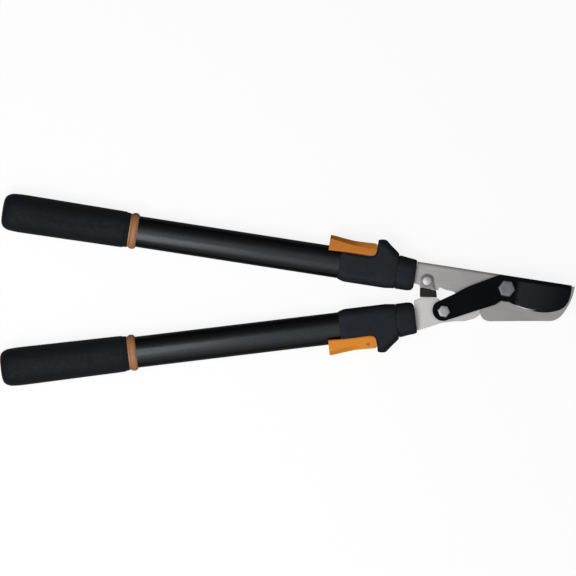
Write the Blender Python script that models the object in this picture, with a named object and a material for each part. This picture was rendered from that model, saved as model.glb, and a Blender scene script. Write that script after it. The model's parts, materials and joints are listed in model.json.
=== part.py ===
"""Telescopic bypass lopper, closed and lying flat, blade side up.

The head has three flat layers. A steel plate with a hook lies in the middle, a coated blade with
its arm lies in front of it, and the lower arm's plate lies behind it. Each plate's tang is pinned
into an inner tube, and an outer tube with a grip and a flip lock slides over each inner tube.

Lengths are metres. In every frame +X points along the handle towards the head and +Z to the front.
"""

import math

import bmesh
import bpy
from mathutils import Vector

# Layout of the closed tool, measured from the main pivot
HANDLE_ANGLE = math.radians(7.835)  # from each handle to the line midway between them
LOWER_AXIS_OFFSET = 0.0210  # main pivot to the lower handle's axis
UPPER_COLLAR_MOUTH = -0.1024  # main pivot to the upper collar, along the handle
LOWER_COLLAR_MOUTH = -0.1042  # main pivot to the lower collar, along the handle

# Fits
CLEARANCE = 0.0003
ROUND_STEPS = 18
SMALL_HOLE = 0.0040  # holes under this radius get fewer sides
SMALL_HOLE_STEPS = 12
DOME_STEPS = 3

# Plates and blade
PLATE_THICKNESS = 0.0045
BLADE_THICKNESS = 0.0045
EDGE_THICKNESS = 0.0006
SPINE_BAND = 0.0042
SPINE_HEIGHT = 0.0145
BLADE_REACH = 0.0715
BLADE_BELLY = 0.0209
HOOK_RIM = 0.0032  # the hook shows past the blade's tip by this
HOOK_DEPTH = 0.0382
HOOK_OVERLAP = 0.0038  # the closed blade passes the hook's inner edge by this
BOSS_RADIUS = 0.0146
TANG_LENGTH = 0.0460
TANG_WIDTH = 0.0200
TANG_SHOULDER = 0.0003

# Blade arm and the linkage it makes with the lower arm
ARM_REACH = 0.0741  # main pivot to drive bolt
ARM_ANGLE = math.radians(28.7)  # below the upper handle's axis
ARM_END_RADIUS = 0.0118
ARM_INNER_WIDTH = 0.0165
ARM_OUTER_WIDTH = 0.0117
BLADE_SWING = math.radians(28.5)
FULCRUM_LAND = 0.0105  # steel left round the fulcrum

# Bolts and pins
PIVOT_RADIUS = 0.0050
PIVOT_HEAD_RADIUS = 0.0103
PIVOT_HEAD_HEIGHT = 0.0042
DRIVE_RADIUS = 0.0032
DRIVE_HEAD_RADIUS = 0.0070
DRIVE_HEAD_HEIGHT = 0.0036
SPACER_WALL = 0.0030
FULCRUM_RADIUS = 0.0040
FULCRUM_HEAD_RADIUS = 0.0065
FULCRUM_HEAD_HEIGHT = 0.0016
WASHER_THICKNESS = 0.0012
WASHER_LAND = 0.0035
NUT_WALL = 0.0037
NUT_HEIGHT = 0.0042
THREAD_STAND = 0.0009
TANG_PIN_RADIUS = 0.0030
TANG_PIN_SPACING = 0.0200
TANG_PIN_SET = 0.0120  # collar's mouth to the first pin

# Bumper
BUMPER_LENGTH = 0.0203
BUMPER_PLACE = -0.0848
BUMPER_DEPTH = 0.0100
BUMPER_FACE = 0.0238  # from the upper handle's axis to the bumper's lower face
BUMPER_STAND = 0.0016  # the block stands in front of the plate by this
BUMPER_TONGUE_WIDTH = 0.0120
RIVET_RADIUS = 0.0025
RIVET_HEAD_RADIUS = 0.0055
RIVET_HEAD_HEIGHT = 0.0030
RIVET_PLACE = (-0.0883, -0.0048)
PAD_WIDTH = 0.0152  # the plate under the rivet's dome, drawn down to the bumper
PAD_THICKNESS = 0.0011
PAD_LEAN = 0.26
PAD_SPREAD = 0.10

# Tubes: flattened ovals
TUBE_WIDTH = 0.0346
TUBE_DEPTH = 0.0250
TUBE_FACE_FLAT = 0.0044
TUBE_EDGE_FLAT = 0.0010
TUBE_WALL = 0.0013
BUSH_WALL = 0.0012
INNER_WALL = 0.0013
OVAL_STEPS = 5

# Places along a handle, counted from its collar's mouth towards the grip
COLLAR_LENGTH = 0.0205
COLLAR_LIP = 0.0030
HOUSING_LENGTH = 0.0640
HOUSING_LIP = 0.0019
GRIP_LENGTH = 0.1382
RING_LENGTH = 0.0130
HANDLE_LENGTH = 0.4635
GRIP_FLOOR = 0.0075
INNER_SPARE = 0.0152  # the closed inner tube stops this far short of the plug
BUSH_LENGTH = 0.0190
PLUG_LENGTH = 0.0155
PLUG_FLOOR = 0.0030

# Grip, ring and collar
GRIP_WIDTH = 0.0424
GRIP_DEPTH = 0.0310
RING_WIDTH = 0.0402
RING_DEPTH = 0.0296
COLLAR_DEPTH = 0.0290
COLLAR_RISE = 0.0184
COLLAR_DROP = 0.0190
COLLAR_FACE_FLAT = 0.0100
COLLAR_EDGE_FLAT = 0.0060

# Lock housing
HOUSING_DEPTH = 0.0310
HOUSING_DROP = 0.0201
HOUSING_FLOOR_RISE = 0.0200
HUMP_RISE = 0.0331
HUMP_PLACE = 0.0185  # housing's head end to the hump's crest
HUMP_SET = 0.0005  # the hump stops this far short of the lever's nose
HOUSING_FACE_FLAT = 0.0200
HOUSING_EDGE_FLAT = 0.0100
SCREW_RADIUS = 0.0015
SCREW_HEAD_RADIUS = 0.0035
SCREW_HEAD_SHARE = 0.6  # of the housing's wall
SCREW_SET = 0.0105  # housing's grip end to the screw

# Flip lever, its pin and the brake shoe
PIN_PLACE = 0.0347  # housing's head end to the lever's pin
PIN_RISE = 0.0218
PIN_RADIUS = 0.0015
EAR_RADIUS = 0.0030
EAR_INNER = 0.0063
LEVER_SET = 0.0005  # the cheeks lie this far inside the housing's faces
LEVER_WALL = 0.0024
LEVER_TAIL = 0.0437  # pin to the lever's free end
LEVER_NOSE = 0.0092
LEVER_TOP = 0.0051
LEVER_TAIL_TOP = 0.0073
LEVER_SKIRT = 0.0094
LEVER_BOOT = 0.0005  # the skirt's tail end hangs below the rest by this
LEVER_WEB = 0.0016
LEVER_ROOM = 0.0020  # left open round the lever's nose and under its cheeks
LEVER_SWING = math.radians(65)
CAM_RADIUS = 0.0046
CAM_LIFT = 0.0010
CAM_WIDTH = 0.0116
SHOE_LENGTH = 0.0140
SHOE_WIDTH = 0.0110

# Sizes that follow from the ones above
TUBE_HALF = TUBE_WIDTH / 2
INNER_INSET = TUBE_WALL + BUSH_WALL + 2 * CLEARANCE
INNER_BORE_INSET = INNER_INSET + INNER_WALL
HOUSING_START = COLLAR_LENGTH + CLEARANCE
HOUSING_END = HOUSING_START + HOUSING_LENGTH
TUBE_MOUTH = HOUSING_START + HOUSING_LIP + CLEARANCE
GRIP_START = HANDLE_LENGTH - GRIP_LENGTH
TUBE_END = HANDLE_LENGTH - GRIP_FLOOR
RING_START = GRIP_START - CLEARANCE - RING_LENGTH
INNER_START = COLLAR_LIP + CLEARANCE
INNER_END = TUBE_END - CLEARANCE - PLUG_LENGTH - INNER_SPARE
PIN_STATION = HOUSING_START + PIN_PLACE
HUMP_END = PIN_PLACE - LEVER_NOSE - HUMP_SET
HOUSING_WALL = HOUSING_DEPTH / 2 - TUBE_DEPTH / 2 - CLEARANCE
SCREW_HEAD_HEIGHT = SCREW_HEAD_SHARE * HOUSING_WALL
HOOK_TOP = PLATE_THICKNESS + CLEARANCE / 2
BLADE_BACK = HOOK_TOP + CLEARANCE
BLADE_FRONT = BLADE_BACK + BLADE_THICKNESS
HOOK_REACH = BLADE_REACH + HOOK_RIM
PIN_HALF_LENGTH = TUBE_DEPTH / 2 - INNER_INSET
LEVER_OUTER_HALF = HOUSING_DEPTH / 2 - LEVER_SET
LEVER_INNER_HALF = LEVER_OUTER_HALF - LEVER_WALL
CHEEK_HALF = LEVER_INNER_HALF - CLEARANCE


def finish(name, colour, roughness, metallic=0.0):
    """A plain Principled material."""
    material = bpy.data.materials.new(name)
    material.use_nodes = True
    shader = material.node_tree.nodes["Principled BSDF"]
    shader.inputs["Base Color"].default_value = (*colour, 1.0)
    shader.inputs["Roughness"].default_value = roughness
    shader.inputs["Metallic"].default_value = metallic
    return material


def empty(name, parent=None, place=(0.0, 0.0, 0.0), turn=0.0):
    """A frame that pieces hang from, turned about its own Z."""
    frame = bpy.data.objects.new(name, None)
    bpy.context.scene.collection.objects.link(frame)
    frame.parent = parent
    frame.location = place
    frame.rotation_euler.z = turn
    return frame


def skin(name, rings, parent, material, closed=False, smooth=True):
    """A solid over rings of points: open ends get a flat cap, a closed run makes a sleeve."""
    mesh = bmesh.new()
    loops = [[mesh.verts.new(point) for point in ring] for ring in rings]
    pairs = list(zip(loops, loops[1:]))
    if closed:
        pairs.append((loops[-1], loops[0]))
    for first, second in pairs:
        for index in range(len(first)):
            after = (index + 1) % len(first)
            mesh.faces.new((first[index], first[after], second[after], second[index]))
    if not closed:
        mesh.faces.new(loops[0])
        mesh.faces.new(loops[-1])
    bmesh.ops.recalc_face_normals(mesh, faces=mesh.faces)
    data = bpy.data.meshes.new(name)
    mesh.to_mesh(data)
    mesh.free()
    if smooth:
        data.shade_smooth()
        data.set_sharp_from_angle(angle=math.radians(32))
    if material:
        data.materials.append(material)
    solid = bpy.data.objects.new(name, data)
    bpy.context.scene.collection.objects.link(solid)
    solid.parent = parent
    return solid


def combine(solid, other, operation="DIFFERENCE"):
    """Cuts another solid from this one, or joins it on, and keeps the other as a hidden guide."""
    other.hide_render = True
    other.display_type = "WIRE"
    modifier = solid.modifiers.new(other.name, "BOOLEAN")
    modifier.operation = operation
    modifier.solver = "EXACT"
    modifier.object = other


def soften(solid, width, segments=1):
    """Bevels the sharp edges."""
    modifier = solid.modifiers.new("edges", "BEVEL")
    modifier.width = width
    modifier.segments = segments
    modifier.limit_method = "ANGLE"
    modifier.angle_limit = math.radians(40)


def curve(first, first_pull, second_pull, last, steps=7):
    """Points along a cubic curve, without its last point."""
    points = []
    for step in range(steps):
        t = step / steps
        near = (1 - t) ** 3
        far = t**3
        points.append(
            tuple(
                near * a + 3 * (1 - t) ** 2 * t * b + 3 * (1 - t) * t * t * c + far * d
                for a, b, c, d in zip(first, first_pull, second_pull, last)
            )
        )
    return points


def arc(centre, radius, start, end, steps):
    """Points along an arc, from one angle to another in degrees."""
    points = []
    for step in range(steps + 1):
        angle = math.radians(start + (end - start) * step / steps)
        points.append(
            (centre[0] + radius * math.cos(angle), centre[1] + radius * math.sin(angle))
        )
    return points


def flat_ring(outline, height):
    """An outline at one height."""
    return [(x, y, height) for x, y in outline]


def disc(radius, height, centre=(0.0, 0.0), steps=ROUND_STEPS):
    """A circle of points at one height."""
    return flat_ring(arc(centre, radius, 0, 360 - 360 / steps, steps - 1), height)


def hexagon(radius, height, centre=(0.0, 0.0), steps=ROUND_STEPS):
    """A hexagon with as many points as a circle, its corners at this radius."""
    ring = []
    for index in range(steps):
        angle = 2 * math.pi * index / steps
        away = abs((angle % (math.pi / 3)) - math.pi / 6)
        reach = radius * math.cos(math.pi / 6) / math.cos(away)
        ring.append(
            (centre[0] + reach * math.cos(angle), centre[1] + reach * math.sin(angle), height)
        )
    return ring


def drill(solid, name, radius, low, high, centre=(0.0, 0.0), parent=None):
    """A round hole along Z."""
    steps = SMALL_HOLE_STEPS if radius < SMALL_HOLE else ROUND_STEPS
    rings = [disc(radius, height, centre, steps) for height in (low, high)]
    combine(solid, skin(name, rings, parent, None))


def oval(low, high, half_depth, face_flat, edge_flat):
    """A section across a handle: an oval with a flat on each face and each edge."""
    middle = (low + high) / 2
    corner_y = (high - low - face_flat) / 2
    corner_z = half_depth - edge_flat / 2
    ring = []
    for quarter, (across, deep) in enumerate(((1, 1), (-1, 1), (-1, -1), (1, -1))):
        for step in range(OVAL_STEPS + 1):
            angle = math.radians(90 * (quarter + step / OVAL_STEPS))
            ring.append(
                (
                    middle + across * face_flat / 2 + corner_y * math.cos(angle),
                    deep * edge_flat / 2 + corner_z * math.sin(angle),
                )
            )
    return ring


def tube_oval(inset=0.0):
    """The outer tube's section, drawn in by an even inset."""
    return oval(
        inset - TUBE_HALF, TUBE_HALF - inset, TUBE_DEPTH / 2 - inset, TUBE_FACE_FLAT, TUBE_EDGE_FLAT
    )


def station(distance, section, side=1):
    """A section set across the handle at a distance from the collar's mouth."""
    return [(-distance, side * y, z) for y, z in section]


def prism(name, outline, back, front, parent, material, side=1):
    """An outline in the handle's plane made into a plate between two depths."""
    outline = [(x, side * y) for x, y in outline]
    rings = [flat_ring(outline, back), flat_ring(outline, front)]
    return skin(name, rings, parent, material, smooth=False)


def block(name, low, high, parent, side=1):
    """A box between two corners."""
    outline = [(low[0], low[1]), (high[0], low[1]), (high[0], high[1]), (low[0], high[1])]
    return prism(name, outline, low[2], high[2], parent, None, side)


def arm_point(along, across):
    """A point of the blade's arm: along from the main pivot to the drive bolt, across to its upper side."""
    cosine = math.cos(ARM_ANGLE)
    sine = math.sin(ARM_ANGLE)
    return (-along * cosine - across * sine, -along * sine + across * cosine)


def to_lower(point):
    """A point in the upper handle's plane, as the lower handle's frame gives it."""
    turn = 2 * HANDLE_ANGLE
    x = point[0] * math.cos(turn) + point[1] * math.sin(turn)
    y = -point[0] * math.sin(turn) + point[1] * math.cos(turn)
    return (x, y + LOWER_AXIS_OFFSET)


DRIVE_PLACE = arm_point(ARM_REACH, 0)
FULCRUM_PLACE = arm_point(ARM_REACH / 2, 0)
DRIVE_IN_LOWER = to_lower(DRIVE_PLACE)
FULCRUM_IN_LOWER = to_lower(FULCRUM_PLACE)


def inward(points, distance):
    """An edge's points moved to its left, square to its run."""
    moved = []
    last = len(points) - 1
    for index, point in enumerate(points):
        before = points[max(index - 1, 0)]
        after = points[min(index + 1, last)]
        run = Vector((after[0] - before[0], after[1] - before[1])).normalized()
        moved.append((point[0] - distance * run.y, point[1] + distance * run.x))
    return moved


def cutting_edge():
    """The blade's edge, from the boss round the belly to the tip."""
    start = arc((0, 0), BOSS_RADIUS, -75, -75, 1)[0]
    shoulder = (0.85 * BLADE_REACH, -0.715 * BLADE_BELLY)
    points = curve(
        start,
        (0.31 * BLADE_REACH, -0.98 * BLADE_BELLY),
        (0.62 * BLADE_REACH, -1.15 * BLADE_BELLY),
        shoulder,
    )
    points += curve(
        shoulder,
        (0.945 * BLADE_REACH, -0.54 * BLADE_BELLY),
        (BLADE_REACH, -0.28 * BLADE_BELLY),
        (BLADE_REACH, 0.60 * SPINE_HEIGHT),
    )
    return points + [(BLADE_REACH, 0.60 * SPINE_HEIGHT)]


def build_blade(joint, material):
    """The coated blade: full thickness at its arm, boss and spine, ground down to its edge."""
    centre = arm_point(ARM_REACH + 0.0003, ARM_INNER_WIDTH - ARM_END_RADIUS - 0.0034)
    facing = 180 + math.degrees(ARM_ANGLE)
    spine = [(BLADE_REACH - 0.0004, SPINE_HEIGHT), (0.40 * BLADE_REACH, SPINE_HEIGHT)]
    arm = [
        (-0.0090, SPINE_HEIGHT),
        arm_point(0.0060, ARM_INNER_WIDTH + 0.0004),
        arm_point(0.0250, ARM_INNER_WIDTH + 0.0003),
        arm_point(0.54 * ARM_REACH, ARM_INNER_WIDTH),
        arm_point(0.76 * ARM_REACH, ARM_INNER_WIDTH - 0.0021),
    ]
    arm += arc(centre, ARM_END_RADIUS, facing - 68, facing + 84, 12)
    arm += [arm_point(0.50 * ARM_REACH, -ARM_OUTER_WIDTH)]
    arm += [arm_point(0.0180, -ARM_OUTER_WIDTH - 0.0009)]
    boss = arc((0, 0), BOSS_RADIUS, -104, -82, 3)
    edge = cutting_edge()
    band = SPINE_HEIGHT - SPINE_BAND
    ground = []
    for index in range(len(edge)):
        share = index / (len(edge) - 1)
        if share < 0.4:
            angle = math.radians(-75 + 128 * share / 0.4)
            ground.append((BOSS_RADIUS * math.cos(angle), BOSS_RADIUS * math.sin(angle)))
        else:
            start = BOSS_RADIUS * math.cos(math.radians(53))
            reach = (BLADE_REACH - 0.0030 - start) * (share - 0.4) / 0.6
            ground.append((start + reach, band))
    outline = spine + arm + boss + edge
    front = spine + arm + boss + ground
    rings = [
        flat_ring(outline, BLADE_BACK),
        flat_ring(outline, BLADE_BACK + EDGE_THICKNESS),
        flat_ring(front, BLADE_FRONT),
    ]
    blade = skin("blade", rings, joint, material, smooth=False)
    drill(blade, "blade_pivot_bore", PIVOT_RADIUS + CLEARANCE, 0, 0.02, (0, 0), joint)
    drill(blade, "blade_drive_bore", DRIVE_RADIUS + CLEARANCE, 0, 0.02, DRIVE_PLACE, joint)
    return blade


def tang(mouth):
    """The tongue that goes through a collar into its inner tube, from the lower to the upper corner."""
    half = TANG_WIDTH / 2
    shoulder = mouth + TANG_SHOULDER
    end = mouth - TANG_LENGTH
    return [
        (shoulder, half),
        (end + 0.002, half),
        (end, half - 0.002),
        (end, 0.002 - half),
        (end + 0.002, -half),
        (shoulder, -half),
    ]


def drill_tang(plate, mouth, low, high, frame):
    """The two pin bores in a tang."""
    for index in range(2):
        place = (mouth - TANG_PIN_SET - index * TANG_PIN_SPACING, 0)
        name = f"{plate.name}_pin_bore_{index + 1}"
        drill(plate, name, TANG_PIN_RADIUS + CLEARANCE, low, high, place, frame)


def build_hook_plate(frame, material):
    """The upper arm's plate: tang, bumper lug, fulcrum and pivot lands and the crescent hook."""
    inner = inward(cutting_edge(), HOOK_OVERLAP)
    inner = [point for point in inner if point[0] > 0.24 * BLADE_REACH]
    lug_low = (BUMPER_PLACE - BUMPER_LENGTH / 2, BUMPER_DEPTH - BUMPER_FACE + CLEARANCE)
    lug_high = (BUMPER_PLACE + BUMPER_LENGTH / 2, lug_low[1])
    land = arm_point(ARM_REACH / 2, -FULCRUM_LAND)
    rim = (HOOK_REACH - 0.0008, 0.25 * SPINE_HEIGHT)
    corner = (0.892 * HOOK_REACH, -0.455 * HOOK_DEPTH)
    belly = (0.70 * HOOK_REACH, -0.745 * HOOK_DEPTH)
    heel = (-0.0100, -HOOK_DEPTH)
    outline = tang(UPPER_COLLAR_MOUTH)
    outline += [
        (UPPER_COLLAR_MOUTH + TANG_SHOULDER + 0.0015, -0.0100),
        (lug_low[0] - 0.0010, -0.0108),
        lug_low,
        lug_high,
        (lug_high[0] + 0.0006, -0.0098),
        (lug_high[0] + 0.0090, -0.0118),
        (lug_high[0] + 0.0180, -0.0122),
        arm_point(0.66 * ARM_REACH, -0.0035),
        land,
    ]
    outline += curve((-0.0245, -0.0315), (-0.0225, -0.0370), (-0.0180, -0.0400), heel, 4)
    outline += curve(
        heel, (0.0150, -0.90 * HOOK_DEPTH), (0.48 * HOOK_REACH, -0.80 * HOOK_DEPTH), belly, 5
    )
    outline += curve(
        belly, (0.79 * HOOK_REACH, -0.715 * HOOK_DEPTH), (0.852 * HOOK_REACH, -0.61 * HOOK_DEPTH), corner, 4
    )
    outline += curve(
        corner, (0.932 * HOOK_REACH, -0.30 * HOOK_DEPTH), (0.975 * HOOK_REACH, -0.10 * HOOK_DEPTH), rim, 4
    )
    outline += [rim, (HOOK_REACH, 0.80 * SPINE_HEIGHT), (HOOK_REACH - 0.0004, 0.96 * SPINE_HEIGHT)]
    outline += [(inner[-1][0] + 0.0010, 0.85 * SPINE_HEIGHT)]
    outline += reversed(inner)
    outline += [(0.0152, -0.0060), (0.0150, 0.0060), (0.0120, 0.0120), (0.0060, SPINE_HEIGHT)]
    outline += [(-0.0300, SPINE_HEIGHT), (UPPER_COLLAR_MOUTH + TANG_SHOULDER, SPINE_HEIGHT)]
    plate = prism("hook_plate", outline, HOOK_TOP - PLATE_THICKNESS, HOOK_TOP, frame, material)
    drill(plate, "hook_pivot_bore", PIVOT_RADIUS + CLEARANCE, -0.01, 0.02, (0, 0), frame)
    place = FULCRUM_PLACE
    drill(plate, "hook_fulcrum_bore", FULCRUM_RADIUS + CLEARANCE, -0.01, 0.02, place, frame)
    floor = HOOK_TOP - FULCRUM_HEAD_HEIGHT - 2 * CLEARANCE
    sink = FULCRUM_HEAD_RADIUS + CLEARANCE
    drill(plate, "hook_fulcrum_sink", sink, floor, 0.02, place, frame)
    drill(plate, "hook_rivet_bore", RIVET_RADIUS + CLEARANCE, -0.01, 0.02, RIVET_PLACE, frame)
    drill_tang(plate, UPPER_COLLAR_MOUTH, -0.01, 0.02, frame)
    return plate


def slot_outline():
    """The cam slot in the lower plate.

    The fulcrum lies midway between the main pivot and the drive bolt, so a slot on this curve turns
    the blade by exactly half the lower arm's angle.
    """
    fulcrum = Vector(FULCRUM_IN_LOWER)
    along = (Vector(DRIVE_IN_LOWER) - fulcrum).normalized()
    across = Vector((-along.y, along.x))
    steps = 8
    path = []
    for step in range(steps + 1):
        swing = BLADE_SWING * math.sqrt(step / steps)
        out = math.cos(swing) - math.cos(swing) ** 2 + 0.5
        aside = -math.sin(swing) * (1 - math.cos(swing))
        path.append(tuple(fulcrum + ARM_REACH * (out * along + aside * across)))
    width = DRIVE_RADIUS + 2 * CLEARANCE
    left = inward(path, width)
    right = inward(path, -width)
    first = (Vector(path[1]) - Vector(path[0])).normalized()
    last = (Vector(path[-1]) - Vector(path[-2])).normalized()
    far = math.degrees(math.atan2(last.y, last.x))
    near = math.degrees(math.atan2(first.y, first.x))
    outline = right[:-1] + arc(path[-1], width, far - 90, far + 90, 8)
    outline += list(reversed(left))[1:-1]
    return outline + arc(path[0], width, near + 90, near + 260, 8)


def bumper_face(x):
    """The bumper's lower face, square to the line midway between the handles."""
    return (x - BUMPER_PLACE) * math.tan(HANDLE_ANGLE) - BUMPER_FACE + 0.0010


def under_bumper(x):
    """The point just under the bumper's lower face at this place along the upper handle."""
    return (x, bumper_face(x) - CLEARANCE)


def build_lower_plate(frame, material):
    """The lower arm's plate: tang, shoulder under the bumper, cam slot and fulcrum eye."""
    mouth = LOWER_COLLAR_MOUTH
    fulcrum = FULCRUM_IN_LOWER
    drive = DRIVE_IN_LOWER
    corner = to_lower(under_bumper(BUMPER_PLACE - 0.29 * BUMPER_LENGTH))
    shoulder = to_lower(under_bumper(BUMPER_PLACE + BUMPER_LENGTH / 2))
    outline = tang(mouth)
    outline += [
        (mouth + TANG_SHOULDER, -0.0132),
        (mouth + TANG_SHOULDER + 0.0030, -0.0128),
        (drive[0] - 0.0160, drive[1] - 0.0148),
        (drive[0] - 0.0030, drive[1] - 0.0123),
        (drive[0] + 0.0118, drive[1] - 0.0124),
        (drive[0] + 0.0220, drive[1] - 0.0136),
        (fulcrum[0] - 0.0020, fulcrum[1] - 0.0202),
        (fulcrum[0] + 0.0040, fulcrum[1] - 0.0163),
    ]
    outline += arc(fulcrum, FULCRUM_LAND, -20, 112, 10)
    outline += [
        (fulcrum[0] - 0.0140, fulcrum[1] + 0.0065),
        (drive[0] + 0.0105, drive[1] + 0.0082),
        (drive[0] + 0.0010, drive[1] + 0.0094),
        shoulder,
        corner,
        (mouth + TANG_SHOULDER + 0.0008, corner[1] - 0.0024),
    ]
    back = CLEARANCE / -2 - PLATE_THICKNESS
    plate = prism("lower_plate", outline, back, back + PLATE_THICKNESS, frame, material)
    drill(plate, "lower_fulcrum_bore", FULCRUM_RADIUS + CLEARANCE, -0.02, 0.01, fulcrum, frame)
    combine(plate, prism("cam_slot", slot_outline(), -0.02, 0.01, frame, None))
    drill_tang(plate, mouth, -0.02, 0.01, frame)
    return plate


def rivet_pad(low, height, steps=ROUND_STEPS):
    """The rivet's pad: round above, with straight leaning sides that go down to this low edge."""
    half = PAD_WIDTH / 2
    depth = RIVET_PLACE[1] - low
    ring = []
    for index in range(steps):
        angle = 2 * math.pi * index / steps
        across = math.cos(angle)
        rise = math.sin(angle)
        if rise < 0.0:
            square = 1 / max(abs(across), -rise)
            across *= square
            rise *= square
            x = half * across - (PAD_LEAN + PAD_SPREAD * across) * depth * rise
            ring.append((RIVET_PLACE[0] + x, RIVET_PLACE[1] + depth * rise, height))
        else:
            ring.append((RIVET_PLACE[0] + half * across, RIVET_PLACE[1] + half * rise, height))
    return ring


def build_bumper(frame, rubber, material):
    """The black stop between the arms, and the domed rivet that holds its tongue behind the lug."""
    start = BUMPER_PLACE - BUMPER_LENGTH / 2
    end = BUMPER_PLACE + BUMPER_LENGTH / 2
    top = BUMPER_DEPTH - BUMPER_FACE
    layer_back = CLEARANCE / 2
    lowest = -PLATE_THICKNESS - CLEARANCE / 2
    outline = [(start, top), (start + 0.0015, bumper_face(start + 0.0015))]
    outline += [(end, bumper_face(end)), (end - 0.0022, top)]
    bumper = prism("bumper", outline, lowest, HOOK_TOP + BUMPER_STAND, frame, rubber)
    half = BUMPER_TONGUE_WIDTH / 2
    tongue = [
        (RIVET_PLACE[0] - half, top - 0.0020),
        (RIVET_PLACE[0] + half, top - 0.0020),
        (RIVET_PLACE[0] + half, RIVET_PLACE[1] + half),
        (RIVET_PLACE[0] - half, RIVET_PLACE[1] + half),
    ]
    back = layer_back - CLEARANCE
    combine(bumper, prism("bumper_tongue", tongue, lowest, back, frame, None), "UNION")
    bore = RIVET_RADIUS + CLEARANCE
    drill(bumper, "bumper_bore", bore, -0.02, 0.02, RIVET_PLACE, frame)
    seat = HOOK_TOP + CLEARANCE
    dome = seat + PAD_THICKNESS
    tail = lowest - CLEARANCE
    rings = [disc(1.5 * RIVET_RADIUS, tail - 0.0012, RIVET_PLACE)]
    rings += [disc(1.8 * RIVET_RADIUS, height, RIVET_PLACE) for height in (tail - 0.0006, tail)]
    rings += [disc(RIVET_RADIUS, height, RIVET_PLACE) for height in (tail, seat)]
    rings += [rivet_pad(top + CLEARANCE, height) for height in (seat, dome)]
    for step in range(4):
        lift = math.radians(76 * step / 3)
        radius = RIVET_HEAD_RADIUS * math.cos(lift)
        rings.append(disc(radius, dome + RIVET_HEAD_HEIGHT * math.sin(lift), RIVET_PLACE))
    skin("bumper_rivet", rings, frame, material)


def bolt(name, shaft, head_radius, head_height, seat, end, centre, frame, material):
    """A bolt with a low domed hexagon head that sits at a height and a shaft that runs back."""
    chamfer = 0.0006
    rings = [disc(shaft - chamfer, end, centre), disc(shaft, end + chamfer, centre)]
    rings += [disc(shaft, seat, centre), hexagon(head_radius, seat, centre)]
    rings.append(hexagon(head_radius, seat + 0.55 * head_height, centre))
    for step in range(1, DOME_STEPS + 1):
        lift = math.radians(80 * step / DOME_STEPS)
        radius = 0.87 * head_radius * math.cos(lift)
        rings.append(disc(radius, seat + head_height * (0.6 + 0.4 * math.sin(lift)), centre))
    return skin(name, rings, frame, material)


def washer(name, bore, radius, top, centre, frame, material):
    """A plain washer hanging down from a height."""
    rings = [
        disc(bore, top, centre),
        disc(radius, top, centre),
        disc(radius, top - WASHER_THICKNESS, centre),
        disc(bore, top - WASHER_THICKNESS, centre),
    ]
    return skin(name, rings, frame, material, closed=True)


def nut(name, bore, top, centre, frame, material):
    """A hexagon nut with its lower corners taken off."""
    radius = bore + NUT_WALL
    low = top - NUT_HEIGHT
    rings = [
        disc(bore, top, centre),
        hexagon(radius, top, centre),
        hexagon(radius, low + 0.0007, centre),
        disc(0.86 * radius, low, centre),
        disc(bore, low, centre),
    ]
    return skin(name, rings, frame, material, closed=True)


def build_pivot(frame, material):
    """The main pivot: bolt through blade and hook plate, washer and nut behind."""
    seat = BLADE_FRONT + CLEARANCE
    back = HOOK_TOP - PLATE_THICKNESS - CLEARANCE
    nut_top = back - WASHER_THICKNESS - CLEARANCE
    end = nut_top - NUT_HEIGHT - THREAD_STAND
    shape = (PIVOT_RADIUS, PIVOT_HEAD_RADIUS, PIVOT_HEAD_HEIGHT)
    bolt("main_pivot_bolt", *shape, seat, end, (0, 0), frame, material)
    bore = PIVOT_RADIUS + CLEARANCE
    washer("main_pivot_washer", bore, bore + WASHER_LAND, back, (0, 0), frame, material)
    nut("main_pivot_nut", bore, nut_top, (0, 0), frame, material)


def build_drive(joint, material, brass):
    """The drive bolt in the blade's arm, the spacer beside the hook plate, washer and nut behind."""
    place = DRIVE_PLACE
    seat = BLADE_FRONT + CLEARANCE
    back = -PLATE_THICKNESS - 1.5 * CLEARANCE
    nut_top = back - WASHER_THICKNESS - CLEARANCE
    end = nut_top - NUT_HEIGHT - THREAD_STAND
    shape = (DRIVE_RADIUS, DRIVE_HEAD_RADIUS, DRIVE_HEAD_HEIGHT)
    bolt("drive_bolt", *shape, seat, end, place, joint, material)
    bore = DRIVE_RADIUS + CLEARANCE
    rings = [
        disc(bore, HOOK_TOP, place),
        disc(bore + SPACER_WALL, HOOK_TOP, place),
        disc(bore + SPACER_WALL, CLEARANCE / 2, place),
        disc(bore, CLEARANCE / 2, place),
    ]
    skin("drive_spacer", rings, joint, brass, closed=True)
    washer("drive_washer", bore, bore + WASHER_LAND, back, place, joint, material)
    nut("drive_nut", bore, nut_top, place, joint, material)


def build_fulcrum(frame, material):
    """The fulcrum pin, its head flush in the hook plate and its tail peened over a washer."""
    place = FULCRUM_PLACE
    back = -PLATE_THICKNESS - 1.5 * CLEARANCE
    tail = back - WASHER_THICKNESS - CLEARANCE
    seat = HOOK_TOP - CLEARANCE - FULCRUM_HEAD_HEIGHT
    bore = FULCRUM_RADIUS + CLEARANCE
    rings = [
        disc(0.8 * bore, tail - 0.0016, place),
        disc(bore + 0.0010, tail - 0.0012, place),
        disc(bore + 0.0010, tail, place),
        disc(FULCRUM_RADIUS, tail, place),
        disc(FULCRUM_RADIUS, seat, place),
        disc(FULCRUM_HEAD_RADIUS, seat, place),
        disc(FULCRUM_HEAD_RADIUS, HOOK_TOP - CLEARANCE, place),
    ]
    skin("fulcrum_pin", rings, frame, material)
    washer("fulcrum_washer", bore, bore + WASHER_LAND, back, place, frame, material)


def sleeve(name, frame, material, side, outer, bore):
    """A hollow piece round a handle's axis, from stations along its outside and along its bore."""
    rings = [station(distance, section, side) for distance, section in outer]
    rings += [station(distance, section, side) for distance, section in reversed(bore)]
    return skin(name, rings, frame, material, closed=True)


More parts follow.
